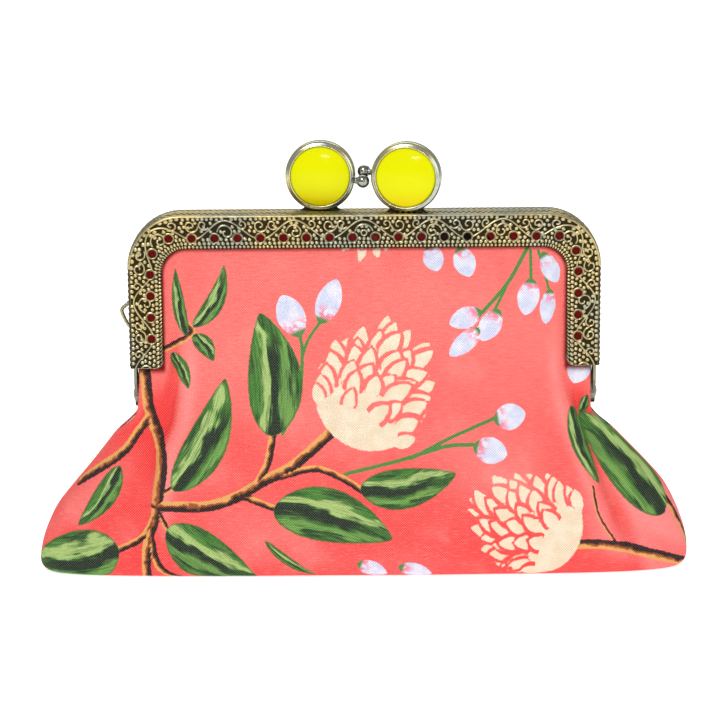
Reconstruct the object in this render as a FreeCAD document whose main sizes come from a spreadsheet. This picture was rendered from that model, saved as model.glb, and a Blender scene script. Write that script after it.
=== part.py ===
"""Coin purse with a sew-in, riveted metal frame and a two-head kiss clasp.

Frame: +Z up, +X to the right seen from the front, front towards -Y. The origin is the centre of the
base, and the bag stands on it. The two frame halves turn apart about the rivets, whose common axis lies
along X at hinge_z. Each half carries fabric panels that end just above the hinge; the bag hangs below.
"""

import math
import os

import FreeCAD
import Part
import Sketcher

SIZES = {
    # Frame halves: a U channel bent to an arch, open downwards and inwards.
    "frame_width": 125.0,
    "frame_top": 96.0,
    "leg_end": 55.0,
    "outer_radius": 14.0,
    "inner_radius": 6.5,
    "band": 8.8,
    "lip": 4.4,
    "metal": 0.8,
    "channel_depth": 5.2,
    "half_gap": 0.2,
    "edge_round": 0.55,
    "toe_round": 2.2,
    # Stitch holes in the outer flange.
    "hole_radius": 1.05,
    "hole_inset": 6.0,
    "top_hole_pitch": 6.07,
    "leg_hole_pitch": 5.8,
    "leg_hole_top": 80.4,
    "corner_hole_x": 56.0,
    "corner_hole_z": 86.0,
    # Hinge.
    "hinge_z": 47.0,
    "lug_radius": 3.2,
    "lug_metal": 0.75,
    "lug_clearance": 0.05,
    "lug_front_rise": 4.0,
    "lug_back_rise": 6.4,
    "lug_overlap": 1.0,
    "lug_root_height": 5.0,
    "lug_root_start": 0.3,
    "pivot_hole_radius": 1.05,
    "rivet_radius": 1.0,
    "rivet_head_radius": 2.1,
    "rivet_head_height": 0.7,
    "rivet_tail_radius": 1.6,
    "rivet_tail_height": 0.5,
    "rivet_play": 0.03,
    # Clasp heads: a cup on a foot, with a resin cabochon in it.
    "head_x": 11.4,
    "head_y": 2.0,
    "head_rise": 9.65,
    "left_head_yaw": 2.0,
    "right_head_yaw": 7.0,
    "cup_radius": 9.3,
    "cup_front": 2.8,
    "cup_back": 3.2,
    "cup_shoulder": 1.2,
    "lip_round": 0.3,
    "rim_round": 0.5,
    "recess_radius": 7.9,
    "recess_depth": 2.3,
    "back_dome": 0.4,
    "back_round": 1.6,
    "stone_clearance": 0.05,
    "stone_edge": 2.0,
    "stone_proud": 1.3,
    "foot_width": 11.0,
    "foot_waist": 8.8,
    "foot_depth": 2.4,
    # Catch beads: they stand past each other when the clasp is shut.
    "bead_radius": 1.44,
    "bead_x": 0.15,
    "bead_y": 1.5,
    "bead_dz": 1.45,
    "bead_drop": 0.15,
    "arm_radius": 0.7,
    "arm_root_x": 3.4,
    "arm_root_y": 1.8,
    # Loop for a wrist chain, on the back half's left leg.
    "loop_top": 73.4,
    "loop_apex": 69.2,
    "loop_bottom": 63.4,
    "loop_reach": 2.3,
    "loop_wire": 0.5,
    "loop_bend": 1.1,
    # Paper cord that wedges the fabric in the channel.
    "cord_radius": 0.55,
    "cord_inset": 1.6,
    "cord_end_gap": 0.4,
    # Layers, outside to inside, and the gap left between neighbours.
    "outer_cloth": 0.6,
    "fleece": 0.9,
    "lining": 0.5,
    "layer_gap": 0.1,
    # Fabric panel of each frame half: a flat rim in the channel and a shallow dish in the window.
    "panel_half_width": 60.0,
    "panel_top": 94.9,
    "panel_bottom": 49.0,
    "rim_y": 4.5,
    "dish_y": 9.0,
    "dish_clear": 0.5,
    "dish_inset": 9.0,
    "dish_top_inset": 8.5,
    # Bag below the hinge.
    "base_half_width": 86.6,
    "base_half_depth": 16.2,
    "base_round": 13.0,
    "bulge_z": 3.0,
    "bulge_half_width": 87.7,
    "bulge_half_depth": 17.2,
    "low_z": 20.0,
    "low_half_width": 81.5,
    "low_half_depth": 16.6,
    "mid_z": 33.0,
    "mid_half_width": 70.2,
    "mid_half_depth": 14.6,
    "neck_z": 42.2,
    "neck_half_width": 59.8,
    "neck_half_depth": 13.1,
    "mouth_z": 45.2,
    "mouth_half_width": 59.4,
    "mouth_half_depth": 12.9,
    "mouth_round": 7.0,
}

doc = FreeCAD.newDocument("coin_purse")
sheet = doc.addObject("Spreadsheet::Sheet", "sizes")


class Size:
    """A length that carries both its value and the sheet expression that gives it."""

    def __init__(self, value, text):
        self.value = value
        self.text = text

    def __add__(self, other):
        other = as_size(other)
        return Size(self.value + other.value, f"({self.text} + {other.text})")

    def __sub__(self, other):
        other = as_size(other)
        return Size(self.value - other.value, f"({self.text} - {other.text})")

    def __mul__(self, factor):
        return Size(self.value * factor, f"({self.text} * {factor})")

    def __neg__(self):
        return Size(-self.value, f"(-1 * {self.text})")


def dome_radius(run, rise):
    """The radius of a dome that rises by rise over a run from its axis to its edge."""
    value = (run.value**2 + rise.value**2) / (2 * rise.value)
    return Size(value, f"(({run.text}^2 + {rise.text}^2) / (2 * {rise.text}))")


def as_size(number):
    return number if isinstance(number, Size) else Size(float(number), str(number))


def size(name):
    return Size(SIZES[name], f"sizes.{name}")


def fill_sheet():
    for line, (name, value) in enumerate(SIZES.items(), 1):
        sheet.set(f"A{line}", name)
        sheet.set(f"B{line}", str(value))
        sheet.setAlias(f"B{line}", name)
    doc.recompute()


# Sketches.


def new_body(label):
    body = doc.addObject("PartDesign::Body", label)
    body.Label = label
    return body


def origin_feature(body, role):
    return next(f for f in body.Origin.OriginFeatures if f.Role == role)


def new_sketch(body, name, plane, offset=0.0):
    """A sketch on one of the body's own origin planes, moved along that plane's normal."""
    sketch = body.newObject("Sketcher::SketchObject", f"{body.Name}_{name}")
    sketch.AttachmentSupport = [(origin_feature(body, plane), "")]
    sketch.MapMode = "FlatFace"
    offset = as_size(offset)
    sketch.AttachmentOffset = FreeCAD.Placement(FreeCAD.Vector(0, 0, offset.value), FreeCAD.Rotation())
    sketch.setExpression("AttachmentOffset.Base.z", offset.text)
    return sketch


def constrain(sketch, kind, places, length):
    """Adds a dimension and binds it to the sheet."""
    index = sketch.addConstraint(Sketcher.Constraint(kind, *places, abs(length.value)))
    name = f"dim{index}"
    sketch.renameConstraint(index, name)
    text = length.text if length.value >= 0 else f"(-1 * {length.text})"
    sketch.setExpression(f"Constraints.{name}", text)


def fix_coordinate(sketch, kind, geo, pos, length):
    """Holds one coordinate of a point at a signed distance from the sketch's origin."""
    if abs(length.value) < 1e-9:
        axis = -2 if kind == "DistanceX" else -1
        sketch.addConstraint(Sketcher.Constraint("PointOnObject", geo, pos, axis))
    elif length.value > 0:
        constrain(sketch, kind, (-1, 1, geo, pos), length)
    else:
        constrain(sketch, kind, (geo, pos, -1, 1), length)


def arc_between(start, end, radius, left):
    """The minor arc from start to end, with its centre to the left or right of the chord."""
    chord = end - start
    half = chord.Length / 2
    rise = math.sqrt(max(radius * radius - half * half, 0.0))
    normal = FreeCAD.Vector(-chord.y, chord.x, 0).normalize()
    centre = (start + end) * 0.5 + normal * (rise if left else -rise)
    circle = Part.Circle(centre, FreeCAD.Vector(0, 0, 1), radius)
    first, last = (start, end) if left else (end, start)
    angles = [math.atan2(p.y - centre.y, p.x - centre.x) for p in (first, last)]
    return Part.ArcOfCircle(circle, angles[0], angles[1])


def square_outline(sketch, corners):
    """A closed outline of level and upright lines. Each corner is (x, y) or (x, y, radius)."""
    points = [FreeCAD.Vector(c[0].value, c[1].value, 0) for c in corners]
    count = len(corners)
    steps = [(points[(i + 1) % count] - points[i]).normalize() for i in range(count)]
    radii = [c[2] if len(c) > 2 else None for c in corners]
    cut = [r.value if r else 0.0 for r in radii]
    lines, arcs = [], {}
    for i in range(count):
        start = points[i] + steps[i] * cut[i]
        end = points[(i + 1) % count] - steps[i] * cut[(i + 1) % count]
        lines.append(sketch.addGeometry(Part.LineSegment(start, end), False))
    for i in range(count):
        before, after = steps[i - 1], steps[i]
        if not radii[i]:
            continue
        left = before.x * after.y - before.y * after.x > 0
        start, end = points[i] - before * cut[i], points[i] + after * cut[i]
        arcs[i] = (sketch.addGeometry(arc_between(start, end, cut[i], left), False), left)
    for i in range(count):
        level = abs(steps[i].y) < 0.5
        sketch.addConstraint(Sketcher.Constraint("Horizontal" if level else "Vertical", lines[i]))
        if level:
            fix_coordinate(sketch, "DistanceY", lines[i], 1, corners[i][1])
        else:
            fix_coordinate(sketch, "DistanceX", lines[i], 1, corners[i][0])
        if i in arcs:
            arc, left = arcs[i]
            enter, leave = (1, 2) if left else (2, 1)
            sketch.addConstraint(Sketcher.Constraint("Tangent", lines[i - 1], 2, arc, enter))
            sketch.addConstraint(Sketcher.Constraint("Tangent", arc, leave, lines[i], 1))
            constrain(sketch, "Radius", (arc,), radii[i])
        else:
            sketch.addConstraint(Sketcher.Constraint("Coincident", lines[i - 1], 2, lines[i], 1))


def free_outline(sketch, points, arcs=None, closed=True):
    """An outline through fixed points. arcs gives (radius, centre on the left) for each edge that is an arc."""
    arcs = arcs or {}
    places = [FreeCAD.Vector(x.value, y.value, 0) for x, y in points]
    count = len(points)
    ends = []
    for i in range(count if closed else count - 1):
        start, end = places[i], places[(i + 1) % count]
        if i in arcs:
            radius, left = arcs[i]
            edge = arc_between(start, end, radius.value, left)
            ends.append((sketch.addGeometry(edge, False), *((1, 2) if left else (2, 1))))
            constrain(sketch, "Radius", (ends[-1][0],), radius)
        else:
            ends.append((sketch.addGeometry(Part.LineSegment(start, end), False), 1, 2))
    for i, (geo, first, _) in enumerate(ends):
        fix_coordinate(sketch, "DistanceX", geo, first, points[i][0])
        fix_coordinate(sketch, "DistanceY", geo, first, points[i][1])
        if i or closed:
            before, _, last = ends[i - 1]
            sketch.addConstraint(Sketcher.Constraint("Coincident", before, last, geo, first))
    if not closed:
        geo, _, last = ends[-1]
        fix_coordinate(sketch, "DistanceX", geo, last, points[-1][0])
        fix_coordinate(sketch, "DistanceY", geo, last, points[-1][1])


def add_circle(sketch, x, y, radius):
    centre = FreeCAD.Vector(x.value, y.value, 0)
    geo = sketch.addGeometry(Part.Circle(centre, FreeCAD.Vector(0, 0, 1), radius.value), False)
    fix_coordinate(sketch, "DistanceX", geo, 3, x)
    fix_coordinate(sketch, "DistanceY", geo, 3, y)
    constrain(sketch, "Radius", (geo,), radius)


# Features.


def pad(body, sketch, length):
    feature = body.newObject("PartDesign::Pad", f"{sketch.Name}_pad")
    feature.Profile = sketch
    feature.Length = length.value
    feature.setExpression("Length", length.text)
    return feature


def pocket(body, sketch, length, reverse=False):
    feature = body.newObject("PartDesign::Pocket", f"{sketch.Name}_pocket")
    feature.Profile = sketch
    feature.Length = length.value
    feature.setExpression("Length", length.text)
    feature.Reversed = reverse
    return feature


def mirrored(body, originals):
    feature = body.newObject("PartDesign::Mirrored", f"{originals[0].Name}_mirror")
    feature.Originals = originals
    feature.MirrorPlane = (origin_feature(body, "YZ_Plane"), [""])
    body.Tip = feature
    return feature


def row(body, original, role, length, count, reverse=False):
    feature = body.newObject("PartDesign::LinearPattern", f"{original.Name}_row")
    feature.Originals = [original]
    feature.Direction = (origin_feature(body, role), [""])
    feature.Length = length.value
    feature.setExpression("Length", length.text)
    feature.Occurrences = count
    feature.Reversed = reverse
    body.Tip = feature
    return feature


def loft(body, name, sketches, cut=False):
    kind = "PartDesign::SubtractiveLoft" if cut else "PartDesign::AdditiveLoft"
    feature = body.newObject(kind, f"{body.Name}_{name}")
    feature.Profile = sketches[0]
    feature.Sections = sketches[1:]
    feature.Ruled = True
    return feature


def revolve(body, sketch, axis):
    feature = body.newObject("PartDesign::Revolution", f"{sketch.Name}_turned")
    feature.Profile = sketch
    feature.ReferenceAxis = (sketch, [axis])
    feature.Angle = 360.0
    return feature


def pipe(body, profile, spine):
    feature = body.newObject("PartDesign::AdditivePipe", f"{profile.Name}_swept")
    feature.Profile = profile
    feature.Spine = (spine, [])
    return feature


def place(feature, x=0.0, y=0.0, z=0.0, turn=0.0):
    """Puts a finished piece at its place, turned about Z, with each value bound to the sheet."""
    x, y, z, turn = (as_size(v) for v in (x, y, z, turn))
    turned = FreeCAD.Rotation(FreeCAD.Vector(0, 0, 1), turn.value)
    feature.Placement = FreeCAD.Placement(FreeCAD.Vector(x.value, y.value, z.value), turned)
    for axis, length in (("x", x), ("y", y), ("z", z)):
        feature.setExpression(f"Placement.Base.{axis}", length.text)
    if turn.value:
        feature.setExpression("Placement.Rotation.Angle", f"{turn.text} * 1 deg")
    return feature


# Frame halves.

half_width = size("frame_width") * 0.5
front_plane = size("half_gap") + size("channel_depth")


def arch_band(body, name, offset, thickness, inner_radius):
    """The arch between its outer edge and a line that lies thickness inside it."""
    sketch = new_sketch(body, name, "XZ_Plane", offset)
    top, bottom = size("frame_top"), size("leg_end")
    inner_x, inner_top = half_width - thickness, top - thickness
    square_outline(
        sketch,
        [
            (-half_width, bottom),
            (-half_width, top, size("outer_radius")),
            (half_width, top, size("outer_radius")),
            (half_width, bottom),
            (inner_x, bottom),
            (inner_x, inner_top, inner_radius),
            (-inner_x, inner_top, inner_radius),
            (-inner_x, bottom),
        ],
    )
    return sketch


def channel(body):
    """The bent channel: web, embossed outer flange and narrower inner lip."""
    metal = size("metal")
    web = arch_band(body, "web", size("half_gap"), metal, size("outer_radius") - metal)
    pad(body, web, size("channel_depth"))
    flange = arch_band(body, "flange", front_plane - metal, size("band"), size("inner_radius"))
    pad(body, flange, metal)
    lip_radius = size("outer_radius") - size("lip")
    pad(body, arch_band(body, "lip", size("half_gap"), size("lip"), lip_radius), metal)
    doc.recompute()


def outer_front_edges(shape):
    """The edges where the web turns into the outer flange."""
    found = []
    for index, edge in enumerate(shape.Edges, 1):
        box, middle = edge.BoundBox, edge.valueAt((edge.FirstParameter + edge.LastParameter) / 2)
        in_front = abs(box.YMin + front_plane.value) < 1e-4 and box.YLength < 1e-4
        corner = half_width.value - SIZES["outer_radius"] * 0.4
        outside = (
            abs(middle.x) > half_width.value - 0.01
            or middle.z > SIZES["frame_top"] - 0.01
            or (abs(middle.x) > corner and middle.z > SIZES["frame_top"] - SIZES["outer_radius"] * 0.4)
        )
        if in_front and outside:
            found.append(f"Edge{index}")
    return found


def toe_edges(shape):
    """The short edges at the inner lower corner of each leg's flange."""
    found = []
    inner_x = half_width.value - SIZES["band"]
    for index, edge in enumerate(shape.Edges, 1):
        box = edge.BoundBox
        at_toe = abs(box.ZMin - SIZES["leg_end"]) < 1e-4 and box.ZLength < 1e-4
        short = abs(box.YLength - SIZES["metal"]) < 1e-3 and box.XLength < 1e-4
        if at_toe and short and abs(abs(box.XMin) - inner_x) < 1e-3:
            found.append(f"Edge{index}")
    return found


def round_edges(body, base, edges, radius):
    feature = body.newObject("PartDesign::Fillet", f"{body.Name}_{radius.text.split('.')[-1]}")
    feature.Base = (base, edges)
    feature.Radius = radius.value
    feature.setExpression("Radius", radius.text)
    doc.recompute()
    return feature


def stitch_holes(body):
    """Eighteen holes along the top, one in each corner and four down each leg."""
    hole, depth = size("hole_radius"), size("metal") * 2
    start = front_plane + 0.2
    top_z = size("frame_top") - size("hole_inset")
    row_length = size("top_hole_pitch") * 17
    top = new_sketch(body, "top_hole", "XZ_Plane", start)
    add_circle(top, row_length * -0.5, top_z, hole)
    row(body, pocket(body, top, depth), "X_Axis", row_length, 18)
    corner = new_sketch(body, "corner_hole", "XZ_Plane", start)
    add_circle(corner, size("corner_hole_x"), size("corner_hole_z"), hole)
    mirrored(body, [pocket(body, corner, depth)])
    for side, sign in (("left", -1), ("right", 1)):
        leg = new_sketch(body, f"{side}_leg_hole", "XZ_Plane", start)
        add_circle(leg, (half_width - size("hole_inset") + 0.2) * sign, size("leg_hole_top"), hole)
        row(body, pocket(body, leg, depth), "Z_Axis", size("leg_hole_pitch") * 3, 4, reverse=True)


def lug_outline(body, name, offset):
    """The lug in side view: from the leg's end down and across to a round end on the hinge axis."""
    sketch = new_sketch(body, name, "YZ_Plane", offset)
    axis, radius, top = size("hinge_z"), size("lug_radius"), size("leg_end") + size("lug_overlap")
    points = [
        (-front_plane, top),
        (-front_plane, axis + size("lug_front_rise")),
        (-radius, axis),
        (radius, axis),
        (-size("half_gap"), axis + size("lug_back_rise")),
        (-size("half_gap"), top),
    ]
    places = [FreeCAD.Vector(x.value, y.value, 0) for x, y in points]
    arc = arc_between(places[2], places[3], radius.value, True)
    lines = [Part.LineSegment(places[i], places[(i + 1) % 6]) for i in (0, 1, 3, 4, 5)]
    geo = [sketch.addGeometry(edge, False) for edge in (*lines[:2], arc, *lines[2:])]
    ends = [(g, 1, 2) for g in geo]
    for i, (g, first, _) in enumerate(ends):
        before, _, last = ends[i - 1]
        sketch.addConstraint(Sketcher.Constraint("Coincident", before, last, g, first))
        fix_coordinate(sketch, "DistanceX", g, first, points[i][0])
        fix_coordinate(sketch, "DistanceY", g, first, points[i][1])
    constrain(sketch, "DistanceY", (-1, 1, geo[2], 3), axis)
    return sketch


def lug_face(inner):
    """How far out a lug's outer face is: inside the web, or one lug further in for the inner pair."""
    step = size("lug_clearance") + size("lug_metal") if inner else as_size(0.0)
    return half_width - size("metal") - size("lug_clearance") - step


def lugs(body, inner):
    """A lug on each leg. The inner pair lies inside the outer pair, so that they overlap on the rivets."""
    thick = size("lug_metal")
    face = lug_face(inner)
    plate = pad(body, lug_outline(body, "lug", face - thick), thick)
    root = new_sketch(body, "lug_root", "YZ_Plane", face - thick)
    low = size("leg_end") + size("lug_root_start")
    high = size("leg_end") + size("lug_root_height")
    near, far = -size("half_gap"), -front_plane + size("metal") * 0.5
    square_outline(root, [(far, low), (far, high), (near, high), (near, low)])
    block = pad(body, root, half_width - size("metal") * 0.5 - face + thick)
    doc.recompute()
    mirrored(body, [plate, block])
    pivot = new_sketch(body, "pivot", "YZ_Plane", -half_width - 1.0)
    add_circle(pivot, as_size(0.0), size("hinge_z"), size("pivot_hole_radius"))
    pocket(body, pivot, half_width * 2 + 2.0, reverse=True)


def frame_half(label, inner_lugs, turn):
    body = new_body(label)
    channel(body)
    base = body.Tip
    rolled = round_edges(body, base, outer_front_edges(base.Shape), size("edge_round"))
    round_edges(body, rolled, toe_edges(rolled.Shape), size("toe_round"))
    stitch_holes(body)
    lugs(body, inner_lugs)
    place(body, turn=turn)


# Hinge rivets.


def rivet(label, turn):
    """A shank with a domed outer head and an upset tail inside, turned about the hinge axis."""
    body = new_body(label)
    play = size("rivet_play")
    outer = lug_face(False) + play
    inner = lug_face(True) - size("lug_metal") - play
    shank, head, tail = size("rivet_radius"), size("rivet_head_radius"), size("rivet_tail_radius")
    height = size("rivet_head_height")
    zero = as_size(0.0)
    sketch = new_sketch(body, "profile", "XY_Plane")
    points = [
        (inner - size("rivet_tail_height"), zero),
        (outer + height, zero),
        (outer, head),
        (outer, shank),
        (inner, shank),
        (inner, tail),
        (inner - size("rivet_tail_height"), tail),
    ]
    free_outline(sketch, points, {1: (dome_radius(head, height), True)})
    revolve(body, sketch, "H_Axis")
    place(body, z=size("hinge_z"), turn=turn)


# Clasp.

clasp_z = size("frame_top") + size("head_rise")
head_y = size("head_y")


def cup(label, x, y, yaw):
    """A shallow cup, turned about Y, with a rounded rim in front and a slightly domed back."""
    body = new_body(label)
    sketch = new_sketch(body, "profile", "XY_Plane")
    radius, recess = size("cup_radius"), size("recess_radius")
    front, back = size("cup_front"), size("cup_back")
    floor_y = size("recess_depth") - front
    shoulder, dome, bend = size("cup_shoulder"), size("back_dome"), size("back_round")
    lip, rim = size("lip_round"), size("rim_round")
    zero = as_size(0.0)
    points = [
        (zero, floor_y),
        (recess, floor_y),
        (recess, lip - front),
        (recess + lip, -front),
        (radius - rim, -front),
        (radius, rim - front),
        (radius, shoulder),
        (radius - bend, back - dome),
        (zero, back),
    ]
    arcs = {
        2: (lip, True),
        4: (rim, True),
        6: (bend, True),
        7: (dome_radius(radius - bend, dome), True),
    }
    free_outline(sketch, points, arcs)
    revolve(body, sketch, "V_Axis")
    place(body, x, y, clasp_z, yaw)


def cabochon(label, x, y, yaw):
    """A low resin dome that fills the cup's recess."""
    body = new_body(label)
    sketch = new_sketch(body, "profile", "XY_Plane")
    gap = size("stone_clearance")
    edge = size("recess_radius") - gap
    seat = size("recess_depth") - size("cup_front") - gap
    shoulder = seat - size("stone_edge")
    crown = shoulder - size("stone_proud")
    zero = as_size(0.0)
    points = [(zero, seat), (zero, crown), (edge, shoulder), (edge, seat)]
    free_outline(sketch, points, {1: (dome_radius(edge, size("stone_proud")), True)})
    revolve(body, sketch, "V_Axis")
    place(body, x, y, clasp_z, yaw)


def foot(label, x, y, yaw):
    """The foot that carries a cup: flat on the frame, hollowed on top to the cup's own radius."""
    body = new_body(label)
    sketch = new_sketch(body, "outline", "XZ_Plane", size("foot_depth") * -0.5)
    radius = SIZES["cup_radius"]
    wide, waist = size("foot_width") * 0.5, size("foot_waist") * 0.5
    drop = math.sqrt(radius * radius - waist.value * waist.value)
    seat = Size(-drop, f"(-1 * sqrt(sizes.cup_radius^2 - {waist.text}^2))")
    bottom = -size("head_rise")
    points = [(-wide, bottom), (wide, bottom), (waist, seat), (-waist, seat)]
    free_outline(sketch, points, {2: (size("cup_radius"), False)})
    pad(body, sketch, size("foot_depth"))
    place(body, x, y, clasp_z, yaw)


def catch_bead(label, side, x, y, yaw):
    """A small ball on a short arm that springs past its neighbour. side is -1 for the left head."""
    ball = doc.addObject("Part::Sphere", f"{label}_ball")
    ball.setExpression("Radius", "sizes.bead_radius")
    centre = (
        size("bead_x") * side,
        size("bead_y") * side,
        clasp_z - size("bead_drop") + size("bead_dz") * side,
    )
    place(ball, *centre)
    root = (size("arm_root_x") * side, size("arm_root_y") * -side, centre[2])
    arm = doc.addObject("Part::Cylinder", f"{label}_arm")
    arm.setExpression("Radius", "sizes.arm_radius")
    run = FreeCAD.Vector(*(c.value - r.value for c, r in zip(centre, root)))
    reach_x, reach_y = "sizes.arm_root_x - sizes.bead_x", "sizes.arm_root_y + sizes.bead_y"
    arm.setExpression("Height", f"sqrt(({reach_x})^2 + ({reach_y})^2)")
    arm.Placement = FreeCAD.Placement(
        FreeCAD.Vector(*(r.value for r in root)),
        FreeCAD.Rotation(FreeCAD.Vector(0, 0, 1), run),
    )
    joined = doc.addObject("Part::Fuse", f"{label}_joined")
    joined.Base, joined.Tool = ball, arm
    wall = doc.addObject("Part::Cylinder", f"{label}_cup_wall")
    wall.setExpression("Radius", "sizes.cup_radius")
    wall.setExpression("Height", "2 * sizes.cup_radius")
    turned = FreeCAD.Rotation(FreeCAD.Vector(0, 0, 1), yaw.value)
    turned = turned * FreeCAD.Rotation(FreeCAD.Vector(1, 0, 0), 90)
    middle = FreeCAD.Vector(x.value, y.value, clasp_z.value)
    start = middle + turned.multVec(FreeCAD.Vector(0, 0, -SIZES["cup_radius"]))
    wall.Placement = FreeCAD.Placement(start, turned)
    cut = doc.addObject("Part::Cut", label)
    cut.Label = label
    cut.Base, cut.Tool = joined, wall


def clasp_head(name, side, y, yaw):
    x = size("head_x") * side
    foot(f"{name}_clasp_foot", x, y, yaw)
    cup(f"{name}_clasp_cup", x, y, yaw)
    cabochon(f"{name}_cabochon", x, y, yaw)
    catch_bead(f"{name}_catch_bead", side, x, y, yaw)


def chain_loop():
    """A bent wire loop brazed to the outside of the back half's left leg."""
    body = new_body("chain_loop")
    wall, reach = half_width, half_width + size("loop_reach")
    low, apex, high, bend = (size(n) for n in ("loop_bottom", "loop_apex", "loop_top", "loop_bend"))
    spine = new_sketch(body, "spine", "XZ_Plane")
    points = [(-wall, low), (-reach, apex - bend), (-reach, apex + bend), (-wall, high)]
    free_outline(spine, points, {1: (bend * 1.6, False)}, closed=False)
    profile = new_sketch(body, "wire", "YZ_Plane", -wall)
    add_circle(profile, as_size(0.0), low, size("loop_wire"))
    pipe(body, profile, spine)
    # The wire's ends are dressed flush with the leg.
    flush = new_sketch(body, "flush", "XZ_Plane", size("loop_wire") * 2)
    within = -wall + size("loop_wire") * 4
    under, over = low - 2.0, high + 2.0
    square_outline(flush, [(-wall, under), (within, under), (within, over), (-wall, over)])
    pocket(body, flush, size("loop_wire") * 4)
    place(body, y=size("half_gap") + size("channel_depth") * 0.5)


# Fabric and its paper cord.


def frame_cord(label, turn):
    """Paper cord pushed into the channel behind the fabric."""
    body = new_body(label)
    inset, radius = size("cord_inset"), size("cord_radius")
    depth = size("half_gap") + size("metal") + size("layer_gap") + radius
    x, top = half_width - size("metal") - inset, size("frame_top") - size("metal") - inset
    bend = size("outer_radius") - size("metal") - inset
    low = size("leg_end") + size("lug_root_height") + size("cord_end_gap")
    spine = new_sketch(body, "spine", "XZ_Plane", depth)
    points = [(-x, low), (-x, top - bend), (-x + bend, top), (x - bend, top), (x, top - bend), (x, low)]
    free_outline(spine, points, {1: (bend, False), 3: (bend, False)}, closed=False)
    profile = new_sketch(body, "section", "XY_Plane", low)
    add_circle(profile, -x, -depth, radius)
    pipe(body, profile, spine)
    place(body, turn=turn)


def arch_fill(body, name, offset, x, top, bottom, radius):
    sketch = new_sketch(body, name, "XZ_Plane", offset)
    square_outline(sketch, [(-x, bottom), (-x, top, radius), (x, top, radius), (x, bottom)])
    return sketch


def panel(label, inward, thickness, turn):
    """One layer of a frame half's fabric: a flat rim in the channel, dished out in the window."""
    body = new_body(label)
    bottom = size("panel_bottom")
    rim, dish = size("rim_y") - inward, size("dish_y") - inward
    corner = size("outer_radius") - 1.5
    rim_sketch = arch_fill(
        body, "rim", rim - thickness, size("panel_half_width"), size("panel_top"), bottom, corner
    )
    pad(body, rim_sketch, thickness)
    wide, high = (edge - size("band") - size("dish_clear") for edge in (half_width, size("frame_top")))
    narrow, low = wide - size("dish_inset"), high - size("dish_top_inset")
    round_wide, round_narrow = size("inner_radius"), size("inner_radius") * 1.6
    for name, back, cut in (("dish", as_size(0.0), False), ("hollow", thickness, True)):
        end = bottom - 1.0 if cut else bottom
        sections = [
            arch_fill(body, f"{name}_edge", rim - back, wide, high, end, round_wide),
            arch_fill(body, f"{name}_crown", dish - back, narrow, low, end, round_narrow),
        ]
        loft(body, name, sections, cut)
    place(body, turn=turn)


def bag_section(body, name, z, x, y, radius):
    sketch = new_sketch(body, name, "XY_Plane", z)
    square_outline(sketch, [(-x, -y, radius), (x, -y, radius), (x, y, radius), (-x, y, radius)])
    return sketch


def bag_layer(label, inward, thickness):
    """One layer of the bag below the hinge: a lofted shell with a floor, open at the top."""
    body = new_body(label)
    for name, inset, cut in (("skin", inward, False), ("inside", inward + thickness, True)):
        sections = []
        for level in ("base", "bulge", "low", "mid", "neck", "mouth"):
            z = inset if level == "base" else size(f"{level}_z")
            z = z + 1.0 if cut and level == "mouth" else z
            x, y = size(f"{level}_half_width") - inset, size(f"{level}_half_depth") - inset
            upper = level in ("neck", "mouth")
            radius = size("mouth_round" if upper else "base_round") - inset
            sections.append(bag_section(body, f"{name}_{level}", z, x, y, radius))
        loft(body, name, sections, cut)
    place(body)


def layers():
    """(name, distance in from the outermost face, thickness) of each layer of cloth."""
    gap = size("layer_gap")
    first = as_size(0.0)
    second = size("outer_cloth") + gap
    third = second + size("fleece") + gap
    return [
        ("outer", first, size("outer_cloth")),
        ("fleece", second, size("fleece")),
        ("lining", third, size("lining")),
    ]


def build():
    fill_sheet()
    frame_half("front_frame", inner_lugs=False, turn=0.0)
    frame_half("back_frame", inner_lugs=True, turn=180.0)
    rivet("right_hinge_rivet", 0.0)
    rivet("left_hinge_rivet", 180.0)
    clasp_head("left", -1, head_y, -size("left_head_yaw"))
    clasp_head("right", 1, -head_y, -size("right_head_yaw"))
    chain_loop()
    for side, turn in (("front", 0.0), ("back", 180.0)):
        frame_cord(f"{side}_paper_cord", turn)
        for name, inward, thickness in layers():
            panel(f"{side}_{name}_panel", inward, thickness, turn)
    for name, inward, thickness in layers():
        bag_layer(f"bag_{name}", inward, thickness)
    doc.recompute()


def sub_parts():
    """The finished sub-parts: every body, and each catch bead."""
    return [o for o in doc.Objects if o.TypeId in ("PartDesign::Body", "Part::Cut")]


def check():
    for feature in doc.Objects:
        if "Invalid" in feature.State or "Error" in feature.State:
            raise RuntimeError(f"{feature.Name} failed: {feature.State}")
    for part in sub_parts():
        shape = part.Shape
        if shape.isNull() or not shape.isValid() or not shape.Solids:
            raise RuntimeError(f"{part.Label} has no valid solid")


def export():
    os.makedirs("parts", exist_ok=True)
    for part in sub_parts():
        part.Shape.exportStep(os.path.join("parts", f"{part.Label}.step"))


build()
check()
export()
print(f"{len(sub_parts())} sub-parts written")
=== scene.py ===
"""Looks for the coin purse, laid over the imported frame. Lengths in the tables are millimetres."""

import math

import bpy
import numpy as np
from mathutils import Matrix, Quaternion, Vector


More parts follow.
